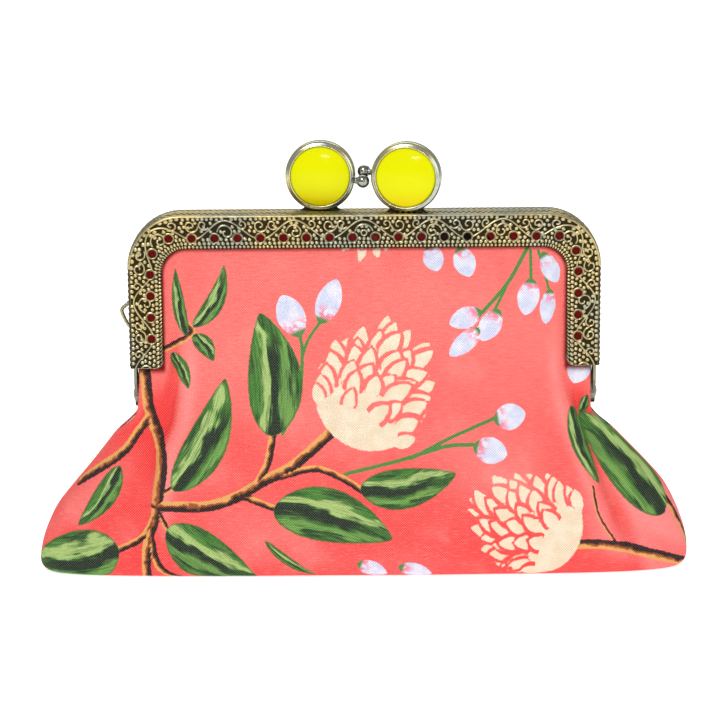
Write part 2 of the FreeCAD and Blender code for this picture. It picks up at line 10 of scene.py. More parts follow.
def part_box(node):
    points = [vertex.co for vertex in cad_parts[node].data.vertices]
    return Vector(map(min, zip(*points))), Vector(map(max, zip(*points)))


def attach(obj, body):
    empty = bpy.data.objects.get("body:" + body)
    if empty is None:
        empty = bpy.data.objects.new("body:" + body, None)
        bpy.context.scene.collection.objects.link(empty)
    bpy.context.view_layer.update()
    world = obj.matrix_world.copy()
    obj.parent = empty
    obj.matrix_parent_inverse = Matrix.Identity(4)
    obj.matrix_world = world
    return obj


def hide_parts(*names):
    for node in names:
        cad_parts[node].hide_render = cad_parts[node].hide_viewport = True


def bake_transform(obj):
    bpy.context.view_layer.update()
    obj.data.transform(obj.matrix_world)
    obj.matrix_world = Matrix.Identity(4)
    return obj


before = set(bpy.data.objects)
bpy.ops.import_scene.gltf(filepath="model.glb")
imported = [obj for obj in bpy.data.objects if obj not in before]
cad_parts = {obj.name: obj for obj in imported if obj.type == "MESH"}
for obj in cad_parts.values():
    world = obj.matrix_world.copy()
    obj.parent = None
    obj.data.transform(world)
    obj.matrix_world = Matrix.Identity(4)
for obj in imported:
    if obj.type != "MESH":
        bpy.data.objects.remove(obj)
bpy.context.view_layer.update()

MM = 0.001
SOFTENING = (-2.0, -1.0, 0.0, 1.0, 2.0)
RING_POINTS = 160


# Small tools.


def ease(share):
    """0 to 1 with a smooth start and end."""
    share = np.clip(share, 0.0, 1.0)
    return share * share * (3.0 - 2.0 * share)


def through(place, knots):
    """A softened line through (place, value) knots."""
    places, values = np.array(knots, float).T
    return np.mean([np.interp(place + shift, places, values) for shift in SOFTENING], axis=0)


def make_mesh(name, points, faces, attributes=None):
    """A smooth-shaded mesh from points in millimetres."""
    mesh = bpy.data.meshes.new(name)
    mesh.from_pydata((np.asarray(points) * MM).tolist(), [], [list(map(int, f)) for f in faces])
    mesh.shade_smooth()
    for key, values in (attributes or {}).items():
        layer = mesh.attributes.new(key, "FLOAT", "POINT")
        layer.data.foreach_set("value", np.asarray(values, np.float32))
    mesh.validate()
    piece = bpy.data.objects.new(name, mesh)
    bpy.context.scene.collection.objects.link(piece)
    return piece


def grid_faces(rows, columns, first=0, flip=False, closed=False):
    """Quads over a rows by columns grid of points."""
    row = np.arange(rows - 1)[:, None] * columns
    column = np.arange(columns if closed else columns - 1)[None, :]
    after = (column + 1) % columns
    quads = np.stack([row + column, row + after, row + columns + after, row + columns + column], -1)
    quads = quads.reshape(-1, 4) + first
    return quads[:, ::-1] if flip else quads


def shell(name, outside, inside, flip, attributes=None):
    """A closed sheet of cloth between two grids of points, shaped (rows, columns, 3)."""
    rows, columns, _ = outside.shape
    count = rows * columns
    faces = [grid_faces(rows, columns, 0, flip), grid_faces(rows, columns, count, not flip)]
    ids = np.arange(count).reshape(rows, columns)
    border = np.concatenate([ids[0], ids[1:, -1], ids[-1, -2::-1], ids[-2:0:-1, 0]])
    after = np.roll(border, -1)
    rim = np.stack([border, border + count, after + count, after], -1)
    faces.append(rim[:, ::-1] if flip else rim)
    points = np.concatenate([outside.reshape(-1, 3), inside.reshape(-1, 3)])
    doubled = {key: np.tile(values.reshape(-1), 2) for key, values in (attributes or {}).items()}
    return make_mesh(name, points, np.concatenate(faces), doubled)


def tube(name, rows, attributes=None):
    """A mesh through rings of points, with a cap on each end."""
    count, segments = len(rows), len(rows[0])
    last = (count - 1) * segments
    caps = [list(range(segments))[::-1], list(range(last, last + segments))]
    faces = grid_faces(count, segments, closed=True).tolist() + caps
    return make_mesh(name, np.array(rows).reshape(-1, 3), faces, attributes)


def circle(points):
    """Angles evenly round a circle."""
    return np.linspace(0, 2 * math.pi, points, endpoint=False)


def lathe(name, profile, centre, yaw=0.0, attributes=None):
    """A profile of (radius, distance along the axis), turned about an axis along Y, then yawed about Z."""
    profile = np.array(profile, float)
    turn = circle(RING_POINTS)
    radius, along = profile[:, :1], profile[:, 1:]
    local = np.stack([radius * np.cos(turn), along + 0 * turn, radius * np.sin(turn)], -1)
    cos, sin = math.cos(math.radians(yaw)), math.sin(math.radians(yaw))
    spin = np.array([[cos, -sin, 0], [sin, cos, 0], [0, 0, 1]])
    return tube(name, local @ spin.T + np.array(centre), attributes)


def rounded(corners, radius=0.3, steps=5):
    """A profile whose inner corners are rounded off."""
    corners = [np.array(c, float) for c in corners]
    out = [corners[0]]
    for before, corner, after in zip(corners, corners[1:], corners[2:]):
        reach = min(radius, np.linalg.norm(before - corner) * 0.45, np.linalg.norm(after - corner) * 0.45)
        start = corner + (before - corner) / np.linalg.norm(before - corner) * reach
        end = corner + (after - corner) / np.linalg.norm(after - corner) * reach
        for share in np.linspace(0, 1, steps):
            out.append((1 - share) ** 2 * start + 2 * share * (1 - share) * corner + share**2 * end)
    out.append(corners[-1])
    return out


# Node materials.


class Paint:
    """One node material, with short calls for the nodes it needs."""

    def __init__(self, name):
        self.material = bpy.data.materials.new(name)
        self.material.use_nodes = True
        self.nodes = self.material.node_tree.nodes
        self.links = self.material.node_tree.links
        self.shader = self.nodes["Principled BSDF"]

    def wire(self, value, socket):
        if isinstance(value, bpy.types.NodeSocket):
            self.links.new(value, socket)
        else:
            socket.default_value = (*value, 1.0) if isinstance(value, tuple) and len(value) == 3 else value

    def attribute(self, name):
        node = self.nodes.new("ShaderNodeAttribute")
        node.attribute_name = name
        return node.outputs["Fac"]

    def math(self, operation, a, b=0.0, clamp=False):
        node = self.nodes.new("ShaderNodeMath")
        node.operation = operation
        node.use_clamp = clamp
        self.wire(a, node.inputs[0])
        self.wire(b, node.inputs[1])
        return node.outputs[0]

    def times(self, a, b):
        return self.math("MULTIPLY", a, b)

    def plus(self, a, b):
        return self.math("ADD", a, b)

    def between(self, value, low, high, bottom=0.0, top=1.0):
        """value eased from bottom at low to top at high."""
        node = self.nodes.new("ShaderNodeMapRange")
        node.interpolation_type = "SMOOTHSTEP"
        self.wire(value, node.inputs["Value"])
        for key, number in (("From Min", low), ("From Max", high), ("To Min", bottom), ("To Max", top)):
            self.wire(number, node.inputs[key])
        return node.outputs["Result"]

    def mix(self, share, a, b, kind="MIX"):
        node = self.nodes.new("ShaderNodeMix")
        node.data_type = "RGBA"
        node.blend_type = kind
        self.wire(share, node.inputs["Factor"])
        self.wire(a, node.inputs["A"])
        self.wire(b, node.inputs["B"])
        return node.outputs["Result"]

    def combine(self, x, y, z=0.0):
        node = self.nodes.new("ShaderNodeCombineXYZ")
        for value, socket in zip((x, y, z), node.inputs):
            self.wire(value, socket)
        return node.outputs[0]

    def place(self):
        return self.nodes.new("ShaderNodeTexCoord").outputs["Object"]

    def split(self, vector):
        node = self.nodes.new("ShaderNodeSeparateXYZ")
        self.wire(vector, node.inputs[0])
        return node.outputs

    def noise(self, scale, detail=3.0, vector=None, roughness=0.5):
        node = self.nodes.new("ShaderNodeTexNoise")
        self.wire(vector or self.place(), node.inputs["Vector"])
        self.wire(scale, node.inputs["Scale"])
        self.wire(detail, node.inputs["Detail"])
        self.wire(roughness, node.inputs["Roughness"])
        return node.outputs["Fac"]

    def bump(self, height, distance, strength=1.0):
        node = self.nodes.new("ShaderNodeBump")
        self.wire(height, node.inputs["Height"])
        node.inputs["Distance"].default_value = distance
        node.inputs["Strength"].default_value = strength
        self.links.new(node.outputs["Normal"], self.shader.inputs["Normal"])

    def set(self, **sockets):
        for key, value in sockets.items():
            self.wire(value, self.shader.inputs[key.replace("_", " ")])
        return self.material


def colour(red, green, blue):
    """An sRGB colour, 0 to 255, as linear numbers."""
    shares = (np.array([red, green, blue]) / 255.0).clip(0, 1)
    linear = np.where(shares <= 0.04045, shares / 12.92, ((shares + 0.055) / 1.055) ** 2.4)
    return tuple(float(x) for x in linear)


def woven(paint, u, v, pitch):
    """Height of a plain weave: threads of that pitch over and under each other."""
    turns = 2 * math.pi / pitch
    across = paint.math("SINE", paint.times(u, turns))
    up = paint.math("SINE", paint.times(v, turns))
    return paint.times(across, up)


def printed_cloth():
    """Coral cotton printed with leaves, branches, blossoms and buds, from the fields on the mesh."""
    p = Paint("printed_cotton")
    u, v = p.attribute("cloth_u"), p.attribute("cloth_v")
    cloth = p.combine(u, v)
    brush = p.math("SUBTRACT", p.noise(0.9, 4.0, cloth), 0.5)
    mottle = p.noise(0.055, 3.0, cloth)

    def inside(name, soft=0.16, rough=0.9):
        edge = p.plus(p.attribute(name), p.times(brush, rough))
        return p.between(edge, -soft, soft)

    # Painted shade: the coral ground is painted darker and deeper red towards the bottom of the bag and
    # lighter towards the top, with noise breaking up the line.
    height = p.plus(v, p.times(mottle, 44.0))
    paint = p.mix(p.between(height, 22.0, 86.0), colour(235, 74, 72), colour(246, 113, 106))
    paint = p.mix(p.between(mottle, 0.52, 0.72, 0.0, 0.35), paint, colour(255, 150, 143))
    slub = p.noise(1.0, 3.0, p.combine(p.times(u, 0.4), p.times(v, 2.4)))
    paint = p.mix(p.between(slub, 0.5, 0.66, 0.0, 0.3), paint, colour(224, 84, 82))
    paint = p.mix(p.between(slub, 0.5, 0.34, 0.0, 0.3), paint, colour(252, 138, 130))
    # Painted shade deepens the red in the fold hollows and dents, and painted highlight pales the crests
    # beside the folds, the lit right gusset and the bulges of the drags.
    paint = p.mix(p.math("MULTIPLY", p.attribute("valley"), 0.8, clamp=True), paint, colour(230, 42, 42))
    paint = p.mix(p.math("MULTIPLY", p.attribute("valley"), -0.6, clamp=True), paint, colour(255, 156, 152))
    paint = p.mix(inside("sprig", 0.14, 0.4), paint, colour(70, 134, 62))
    paint = p.mix(inside("stem", 0.16, 0.7), paint, bark(p, u, v))
    paint = p.mix(inside("leaf", 0.28, 0.6), paint, leaf_paint(p, brush))

    warmth = p.between(p.noise(0.3, 3.0, cloth), 0.35, 0.7)
    petal = p.mix(warmth, colour(228, 212, 182), colour(236, 224, 198))
    paint = p.mix(inside("petal", 0.2, 0.7), paint, petal)

    reach = p.attribute("bud_along")
    washed = p.between(p.noise(0.25, 2.0, cloth), 0.35, 0.65)
    bud = p.mix(washed, colour(198, 208, 232), colour(222, 226, 240))
    streaks = p.between(p.noise(0.6, 2.0, cloth), 0.42, 0.56)
    bud = p.mix(p.times(p.between(reach, 0.5, 0.2), streaks), bud, colour(238, 132, 156))
    bud = p.mix(p.between(reach, 0.2, 0.1), bud, colour(78, 134, 66))
    paint = p.mix(inside("bud", 0.18, 0.4), paint, bud)

    weave = woven(p, u, v, 0.66)
    thread = p.plus(weave, p.times(p.noise(2.2, 2.0, cloth), 1.0))
    # Painted shade darkens the cloth where the threads dip, and a painted highlight pales their tops.
    paint = p.mix(p.between(thread, -0.7, 1.3, 0.36, 0.0), paint, (0.35, 0.06, 0.06), "MULTIPLY")
    paint = p.mix(p.between(thread, 0.6, 1.6, 0.0, 0.14), paint, (1.0, 0.80, 0.78))
    # Painted shade: cloth inside the frame's channel is multiplied down nearly to black red.
    paint = p.mix(p.attribute("tucked"), paint, (0.22, 0.03, 0.03), "MULTIPLY")
    p.bump(thread, 0.00009, 0.6)
    return p.set(Base_Color=paint, Roughness=0.85, Specular_IOR_Level=0.15)


def bark(p, u, v):
    """Brown wood, gold along one side of the branch and black along the other."""
    grain = p.noise(0.42, 2.0, p.combine(u, v))
    shade = p.plus(p.attribute("stem_across"), p.times(p.math("SUBTRACT", grain, 0.5), 1.9))
    wood = p.mix(p.between(shade, -0.55, -0.15), colour(222, 166, 92), colour(150, 78, 32))
    return p.mix(p.between(shade, -0.15, 0.3), wood, colour(34, 18, 14))


def leaf_paint(p, brush):
    """Broad strokes along the leaf: a black-green middle, a pale stroke beside it and green edges."""
    along, side, seed = p.attribute("leaf_along"), p.attribute("leaf_across"), p.attribute("leaf_seed")

    def grain(detail, lengthways, sideways):
        return p.noise(1.0, detail, p.combine(p.times(along, lengthways), p.times(side, sideways), seed))

    broad = grain(2.0, 2.6, 0.8)
    streak = grain(3.0, 5.0, 7.0)
    streak = p.math("SUBTRACT", streak, 0.5)
    place = p.plus(side, p.times(p.math("SUBTRACT", broad, 0.5), 1.3))
    place = p.plus(place, p.times(streak, 0.55))

    def band(start, full, fade, end):
        return p.times(p.between(place, start, full), p.between(place, end, fade))

    leaf = p.mix(p.between(p.plus(broad, streak), 0.35, 0.65), colour(20, 64, 27), colour(60, 122, 42))
    leaf = p.mix(p.times(band(-0.75, -0.6, -0.45, -0.3), 0.7), leaf, colour(116, 168, 80))
    leaf = p.mix(p.times(band(0.12, 0.26, 0.40, 0.58), 0.85), leaf, colour(176, 206, 124))
    hatch = grain(2.0, 4.0, 20.0)
    leaf = p.mix(p.between(hatch, 0.52, 0.64, 0.0, 0.3), leaf, colour(134, 172, 92))
    leaf = p.mix(p.between(hatch, 0.46, 0.36, 0.0, 0.5), leaf, colour(34, 84, 32))
    core = p.times(band(-0.34, -0.18, 0.06, 0.18), p.between(along, 0.95, 0.6))
    leaf = p.mix(core, leaf, colour(20, 44, 26))
    edge = p.between(p.plus(p.attribute("leaf"), p.times(brush, 0.8)), 0.2, 0.9)
    return p.mix(p.times(p.math("SUBTRACT", 1.0, edge), 0.7), leaf, colour(40, 98, 38))


def plain_cloth(name, light, dark, pitch):
    """Unprinted woven cotton."""
    p = Paint(name)
    u, v = p.attribute("cloth_u"), p.attribute("cloth_v")
    cloth = p.combine(u, v)
    weave = woven(p, u, v, pitch)
    slub = p.noise(1.3, 3.0, cloth)
    thread = p.plus(weave, slub)
    p.bump(thread, 0.0001, 0.6)
    paint = p.mix(p.between(p.plus(slub, p.noise(0.05, 2.0, cloth)), 0.6, 1.4), dark, light)
    return p.set(Base_Color=paint, Roughness=0.88, Specular_IOR_Level=0.2, Sheen_Weight=0.2)


def fleece_cloth():
    """Felted interlining, with no weave."""
    p = Paint("fleece")
    fibre = p.noise(2600.0, 5.0, roughness=0.7)
    p.bump(fibre, 0.0002, 0.8)
    paint = p.mix(p.between(fibre, 0.35, 0.65), colour(214, 212, 204), colour(240, 239, 233))
    return p.set(Base_Color=paint, Roughness=0.95, Sheen_Weight=0.4)


def antique_metal(name, bright, dark, worn=True, rough=0.3):
    """Antiqued plating: bright where it has rubbed, dark in the recesses, greener in patches, and with the
    painted highlight and painted shade that the frame's relief carries.
    """
    cool = [tuple(np.array(shade) * (0.72, 0.86, 1.25)) for shade in (dark, bright)]
    p = Paint(name)
    stain = p.noise(420.0, 5.0, roughness=0.65)
    fine = p.noise(2600.0, 3.0)
    height = p.attribute("relief") if worn else 0.75
    shine = p.between(p.plus(height, p.times(p.math("SUBTRACT", stain, 0.5), 0.55)), 0.12, 0.85)
    tone = p.between(p.noise(55.0, 2.0), 0.42, 0.62)
    paint = p.mix(shine, p.mix(tone, dark, cool[0]), p.mix(tone, bright, cool[1]))
    paint = p.mix(p.between(fine, 0.45, 0.75, 0.0, 0.35), paint, dark)
    gloss = p.between(shine, 0.0, 1.0, 0.58, rough)
    p.bump(p.plus(stain, p.times(fine, 0.6)), 0.00006, 0.35)
    return p.set(Base_Color=paint, Metallic=1.0, Roughness=gloss)


def glossy_resin():
    """Opaque yellow resin under a clear gloss, painted a deeper yellow towards the lower edge as painted
    shade.
    """
    p = Paint("yellow_resin")
    height = p.split(p.place())[2]
    # Painted shade: deeper yellow towards the lower edge, clear yellow at the top.
    painted_top_light = p.between(p.plus(height, p.times(p.noise(160.0, 2.0), 0.001)), 0.0975, 0.1045)
    paint = p.mix(painted_top_light, colour(206, 186, 0), colour(206, 206, 0))
    p.bump(p.noise(300.0, 2.0), 0.00001, 0.2)
    p.set(Coat_Weight=0.04, Coat_Roughness=0.03)
    return p.set(Base_Color=paint, Roughness=0.12, Specular_IOR_Level=0.08)


def paper():
    p = Paint("twisted_paper")
    height = p.split(p.place())
    twist = p.math("SINE", p.times(p.plus(height[2], height[0]), 5200.0))
    p.bump(twist, 0.0001, 0.7)
    paint = p.mix(p.between(twist, -0.6, 0.9), colour(176, 152, 116), colour(214, 194, 158))
    return p.set(Base_Color=paint, Roughness=0.9)


# The print. Places are millimetres on the cloth: across from the middle, and up from the base's front edge.

# Base, tip, width and bow of each leaf.
LEAVES = (
    ((-47.5, 66.0), (-50.0, 84.0), 3.8, 0.05),
    ((-45.5, 68.5), (-37.0, 85.0), 5.0, -0.12),
    ((-45.5, 66.5), (-40.0, 59.5), 4.8, 0.08),
    ((-52.0, 61.0), (-47.0, 52.0), 4.4, 0.06),
    ((-24.5, 40.0), (-27.5, 72.5), 14.5, -0.06),
    ((-51.0, 25.5), (-37.0, 55.0), 11.0, -0.08),
    ((-1.5, 25.5), (24.0, 30.0), 11.0, -0.06),
    ((-24.5, 21.0), (7.0, 12.5), 14.5, 0.06),
    ((-53.0, 15.5), (-29.0, 1.0), 13.0, -0.05),
    ((-27.0, 12.5), (-12.5, 2.0), 2.4, -0.06),
    ((-66.0, 31.0), (-77.5, 15.5), 6.5, 0.06),
    ((-66.0, 9.5), (-93.0, 4.5), 15.5, 0.04),
    ((81.0, 17.5), (57.5, 43.5), 15.0, -0.05),
    ((54.8, 46.5), (62.5, 26.0), 4.6, -0.05),
    ((60.3, 48.6), (57.8, 42.8), 3.2, 0.0),
    ((-20.0, -4.0), (4.0, -12.0), 10.0, 0.08),
    ((62.0, -3.0), (40.0, -11.0), 9.0, -0.08),
    ((18.0, 92.5), (34.0, 90.0), 7.0, 0.1),
)

# Lines of wood: width, then points.
BRANCHES = (
    (2.8, ((-8.5, 41.5), (-19.0, 32.5), (-27.5, 28.0), (-34.5, 24.0), (-43.0, 21.5), (-56.0, 21.5))),
    (2.0, ((-24.5, 40.5), (-26.0, 33.0), (-29.5, 26.5))),
    (1.8, ((-1.0, 25.5), (-6.5, 29.0), (-13.5, 31.5), (-22.5, 29.5))),
    (1.7, ((-24.0, 21.0), (-32.0, 24.0))),
    (3.2, ((-60.0, 58.0), (-59.0, 50.0), (-57.5, 44.0), (-55.0, 37.0), (-54.5, 31.0), (-55.5, 23.5))),
    (2.5, ((-55.5, 23.5), (-56.5, 17.0), (-58.5, 10.5), (-58.5, 0.0), (-57.0, -16.0))),
    (2.0, ((-57.5, 13.0), (-55.5, 5.5), (-49.5, 0.5), (-40.0, -5.0))),
    (2.4, ((-58.0, 44.0), (-61.5, 39.5), (-65.0, 35.0), (-72.0, 30.5), (-80.0, 26.0))),
    (1.8, ((-56.0, 19.5), (-59.5, 13.0), (-66.5, 9.5))),
    (1.2, ((-55.0, 24.5), (-51.0, 26.5))),
    (1.2, ((-55.0, 19.5), (-52.5, 14.5))),
    (1.6, ((-56.5, 61.0), (-52.0, 63.0), (-46.0, 66.8), (-47.0, 69.0))),
    (2.6, ((54.0, 10.5), (66.0, 10.0), (78.0, 6.5), (90.0, 2.5))),
    (0.8, ((60.5, 25.5), (62.0, 18.0), (67.0, 10.0))),
    (2.0, ((79.5, 24.0), (84.5, 17.5), (90.0, 8.0))),
)

# Thin green stems: width, then points.
SPRIGS = (
    (0.9, ((-17.0, 66.0), (-16.6, 60.5), (-17.5, 50.5), (-22.0, 40.5))),
    (0.8, ((-12.0, 69.5), (-15.0, 65.0), (-16.6, 60.5))),
    (1.0, ((-5.5, 30.0), (9.0, 33.5), (21.0, 37.0), (28.5, 37.5))),
    (0.9, ((12.0, 34.0), (22.0, 39.0), (34.0, 44.0))),
    (1.0, ((44.0, 90.0), (38.0, 80.0), (31.0, 72.0))),
    (0.8, ((44.0, 88.0), (44.0, 80.0))),
    (0.7, ((46.0, 88.0), (49.0, 78.0))),
    (0.8, ((38.0, 80.0), (34.0, 72.0))),
)

# Base, tip and width of each bud.
BUDS = (
    ((-17.0, 65.8), (-21.8, 77.0), 7.4),
    ((-11.8, 69.2), (-7.2, 81.0), 6.4),
    ((17.0, 89.5), (19.5, 83.0), 5.4),
    ((25.0, 89.0), (28.0, 81.5), 5.8),
    ((44.2, 81.0), (42.6, 71.2), 6.0),
    ((49.4, 78.0), (48.2, 68.5), 4.4),
    ((47.0, 87.5), (51.5, 79.5), 5.0),
    ((31.0, 72.5), (22.5, 69.0), 5.6),
    ((35.5, 73.0), (31.0, 64.5), 5.8),
    ((31.0, 68.0), (22.5, 60.5), 5.0),
    ((34.0, 43.6), (42.5, 45.2), 6.8),
    ((28.5, 37.2), (37.5, 34.6), 6.8),
    ((-2.5, 6.0), (5.5, 2.5), 4.6),
    ((8.5, 5.0), (17.5, 2.0), 4.8),
    ((60.0, 60.0), (56.5, 52.0), 6.4),
)

# Centre, radius and the direction the petals point, in degrees.
BLOSSOMS = (
    ((2.8, 53.0), 17.8, 62.0),
    ((42.5, 16.5), 16.0, 150.0),
    ((0.5, 97.5), 11.5, 268.0),
)

# Rows of petals, outermost first: how far out their tips are, how many, their length and width, all
# lengths as shares of the flower head's radius.
PETAL_ROWS = (
    (1.04, 8, 0.62, 0.28),
    (0.79, 7, 0.58, 0.28),
    (0.54, 7, 0.54, 0.27),
    (0.30, 6, 0.50, 0.26),
    (0.08, 5, 0.44, 0.25),
    (-0.14, 4, 0.38, 0.23),
)
# The head's disc: its radius and how far back it sits, as shares of the head's radius.
DISC, DISC_BACK = 0.88, 0.1
# Millimetres taken off every petal's edge.
PETAL_TRIM = 0.26
# Further outside a shape than any place on the cloth.
OUTSIDE = -9.0


def bowed(u, v, base, tip, bow):
    """Share of the way along a bowed axis, and millimetres across it."""
    (bu, bv), (tu, tv) = base, tip
    du, dv = tu - bu, tv - bv
    length = math.hypot(du, dv)
    along = ((u - bu) * du + (v - bv) * dv) / length**2
    across = ((v - bv) * du - (u - bu) * dv) / length
    return along, across - bow * 4 * length * along * (1 - along), length


def spear(u, v, base, tip, width, bow=0.0, belly=0.75, blunt=0.72):
    """How far inside a pointed oval each place is, with its place along and across it."""
    along, across, length = bowed(u, v, base, tip, bow)
    within = np.clip(along, 0, 1)
    half = width / 2 * np.sin(math.pi * within**belly) ** blunt
    beyond = (np.abs(along - within)) * length
    return half - np.abs(across) - beyond, along, across / (width / 2)


def rounded_line(points, steps=7):
    """Points along a smooth curve through the given ones."""
    line = np.array(points, float)
    line = np.vstack([2 * line[0] - line[1], line, 2 * line[-1] - line[-2]])
    out = []
    for before, start, end, after in zip(line, line[1:], line[2:], line[3:]):
        for t in np.arange(steps) / steps:
            square = 2 * before - 5 * start + 4 * end - after
            cube = 3 * start - before - 3 * end + after
            bend = square * t**2 + cube * t**3
            out.append(0.5 * (2 * start + (end - before) * t + bend))
    out.append(line[-2])
    return np.array(out)


def stroke(u, v, points, width):
    """How far inside a line of that width each place is, and its place across the line."""
    line = rounded_line(points)
    best = np.full(u.shape, 1e9)
    side = np.zeros(u.shape)
    for start, end in zip(line, line[1:]):
        step = end - start
        length = np.linalg.norm(step)
        share = np.clip(((u - start[0]) * step[0] + (v - start[1]) * step[1]) / length**2, 0, 1)
        away_u, away_v = u - start[0] - share * step[0], v - start[1] - share * step[1]
        distance = np.hypot(away_u, away_v)
        signed = (away_v * step[0] - away_u * step[1]) / length
        nearer = distance < best
        best = np.where(nearer, distance, best)
        side = np.where(nearer, signed, side)
    return width / 2 - best, side / (width / 2)


def blossom(u, v, centre, radius, facing, rng):
    """How far inside a flower head each place is: rows of petals, each outlined against those behind it."""
    toward = math.radians(facing)
    ahead = np.array([math.cos(toward), math.sin(toward)])
    beside = np.array([ahead[1], -ahead[0]])
    disc_u = u - centre[0] + DISC_BACK * radius * ahead[0]
    disc_v = v - centre[1] + DISC_BACK * radius * ahead[1]
    best = DISC * radius - np.hypot(disc_u, disc_v)
    for reach, count, length, width in PETAL_ROWS:
        for place in np.linspace(-0.80, 0.82, count) + rng.uniform(-0.07, 0.07, count):
            rise = (reach + 0.6) * math.sqrt(1 - min(abs(place), 0.97) ** 2) - 0.6 + rng.uniform(-0.07, 0.07)
            tip = centre + radius * (rise * ahead + place * beside)
            lean = math.radians(48.0 * place + rng.uniform(-9, 9))
            way = math.cos(lean) * ahead + math.sin(lean) * beside
            base = tip - radius * length * rng.uniform(0.85, 1.15) * way
            bow = rng.uniform(-0.04, 0.12)
            sink, along, _ = spear(u, v, base, tip, width * radius * rng.uniform(0.85, 1.1), bow, 0.9, 0.62)
            drawn = ease((along - 0.12) / 0.2)
            gap = radius * rng.uniform(0.02, 0.05)
            outline = np.abs(sink + gap / 2) - gap / 2 - (1 - drawn) * OUTSIDE
            best = np.where(sink > 0, np.maximum(sink, best + OUTSIDE * drawn), np.minimum(best, outline))
    return best - PETAL_TRIM


def leaf_fields(u, v, low):
    """The leaf each place is in, with the place along and across it and the leaf's own number."""
    fields = {"leaf": low, "leaf_along": low * 0, "leaf_across": low * 0, "leaf_seed": low * 0}
    for number, (base, tip, width, bow) in enumerate(LEAVES):
        sink, along, across = spear(u, v, base, tip, width, bow)
        pale_side = math.copysign(1.0, (tip[0] - base[0]) + 0.5 * (tip[1] - base[1]))
        found = (sink, along, across * pale_side, number * 3.7)
        nearer = sink > fields["leaf"]
        for key, values in zip(tuple(fields), found):
            fields[key] = np.where(nearer, values, fields[key])
    return fields


def line_fields(u, v, lines, low):
    """How far inside any of the lines each place is, and its place across that line."""
    best, side = low, low * 0
    for width, points in lines:
        sink, across = stroke(u, v, points, width)
        side = np.where(sink > best, across, side)
        best = np.maximum(best, sink)
    return best, side


def print_fields(u, v):
    """Every field that the printed cloth's material reads."""
    low = np.full(u.shape, OUTSIDE)
    fields = {"cloth_u": u, "cloth_v": v}
    fields.update(leaf_fields(u, v, low))
    fields["stem"], fields["stem_across"] = line_fields(u, v, BRANCHES, low)
    fields["sprig"] = line_fields(u, v, SPRIGS, low)[0]
    rng = np.random.default_rng(11)
    fields["petal"] = low
    for centre, radius, facing in BLOSSOMS:
        fields["petal"] = np.maximum(fields["petal"], blossom(u, v, centre, radius, facing, rng))
    fields["bud"], fields["bud_along"] = low, low * 0
    for base, tip, width in BUDS:
        sink, along, _ = spear(u, v, base, tip, width, 0.0, 1.0, 0.6)
        fields["bud_along"] = np.where(sink > fields["bud"], along, fields["bud_along"])
        fields["bud"] = np.maximum(fields["bud"], sink)
    return fields


# The bag. Sections run from the left side seam round one face to the right side seam.

LEFT_EDGE = (
    (0, 88.4), (5, 88.2), (10, 87.0), (16, 84.2), (22, 79.4), (28, 74.3),
    (34, 69.6), (38, 66.4), (41, 61.6), (44, 60.9), (60, 60.6),
)
RIGHT_EDGE = (
    (0, 86.6), (5, 87.0), (10, 86.2), (16, 84.0), (22, 80.8), (28, 75.4),
    (34, 69.6), (38, 65.6), (41, 60.9), (44, 60.4), (60, 60.2),
)
WALL = (
    (0, 17.0), (5, 17.2), (14, 17.0), (22, 16.5), (30, 15.4),
    (38, 13.6), (46, 11.3), (52, 9.9), (60, 9.0), (95, 9.0),
)
SQUARENESS = ((0, 4.6), (6, 4.2), (14, 3.3), (24, 2.9), (34, 2.9), (44, 3.4), (60, 4.0))
LEFT_FOLD = ((0, 55.5), (17, 56.0), (33, 54.0), (41, 50.0), (48, 49.0), (60, 48.5), (95, 48.5))
RIGHT_FOLD = ((0, 70.0), (6, 68.5), (23, 62.0), (34, 57.5), (43, 54.5), (55, 52.8), (95, 52.8))
FOLD_DEPTH = (
    (0, 0.0), (6, 0.5), (16, 1.9), (28, 3.6), (38, 4.6),
    (46, 4.4), (54, 3.2), (60, 1.6), (66, 0.4), (70, 0.0),
)

RIM_DEPTH = 4.5
WINDOW_HALF = 53.3
WINDOW_TOP = 86.8
WINDOW_ROUND = 6.5
CHANNEL_TOP = 94.8
CHANNEL_HALF = 60.3
CHANNEL_ROUND = 12.4
BASE_ROUND = 3.2
# The bag's own section turns into the frame window's between these two heights.
SPLIT_FROM = 43.5
SPLIT_TO = 55.0
# The back's print is the front's upside down, measured down from here.
BACK_PRINT_TOP = 78.0
# How softly the outer layer turns at a fold. Inner layers turn more softly.
OUTER_CRISP = 2.6
SECTION_POINTS = 1401
# Half the gap between the two faces' side edges, where they part round the hinge.
GAPE = ((0, 0.0), (33, 0.0), (37, 1.0), (42, 3.7), (50, 4.3), (60, 4.5), (95, 4.5))


def fold_shape(x, z, inset, crisp):
    """How far the wall drops behind each front fold: sharp at the fold, easing out beyond it.

    Inner layers turn more gently, and start further in so that they stay behind the outer cloth."""
    place = np.where(x < 0, through(z, LEFT_FOLD), through(z, RIGHT_FOLD))
    past = np.abs(x) - place + (crisp - OUTER_CRISP) + inset * 0.9
    width = np.where(x < 0, 10.0, 8.0)
    return ease(past / crisp) * np.exp(-((np.clip(past - crisp, 0, None) / width) ** 2))


def crest_beside_fold(x, z):
    """1 on the rounded edge of the front just before each fold, easing to 0."""
    place = np.where(x < 0, through(z, LEFT_FOLD), through(z, RIGHT_FOLD))
    return np.exp(-(((np.abs(x) - place + 2.2) / 2.0) ** 2)) * np.clip(through(z, FOLD_DEPTH) / 3.0, 0, 1)


def lit_gusset(x, z):
    """1 on the low cloth beyond the right fold, which catches the light."""
    return ease((x - through(z, RIGHT_FOLD) - 2.5) / 5.0) * ease((36.0 - z) / 10.0)


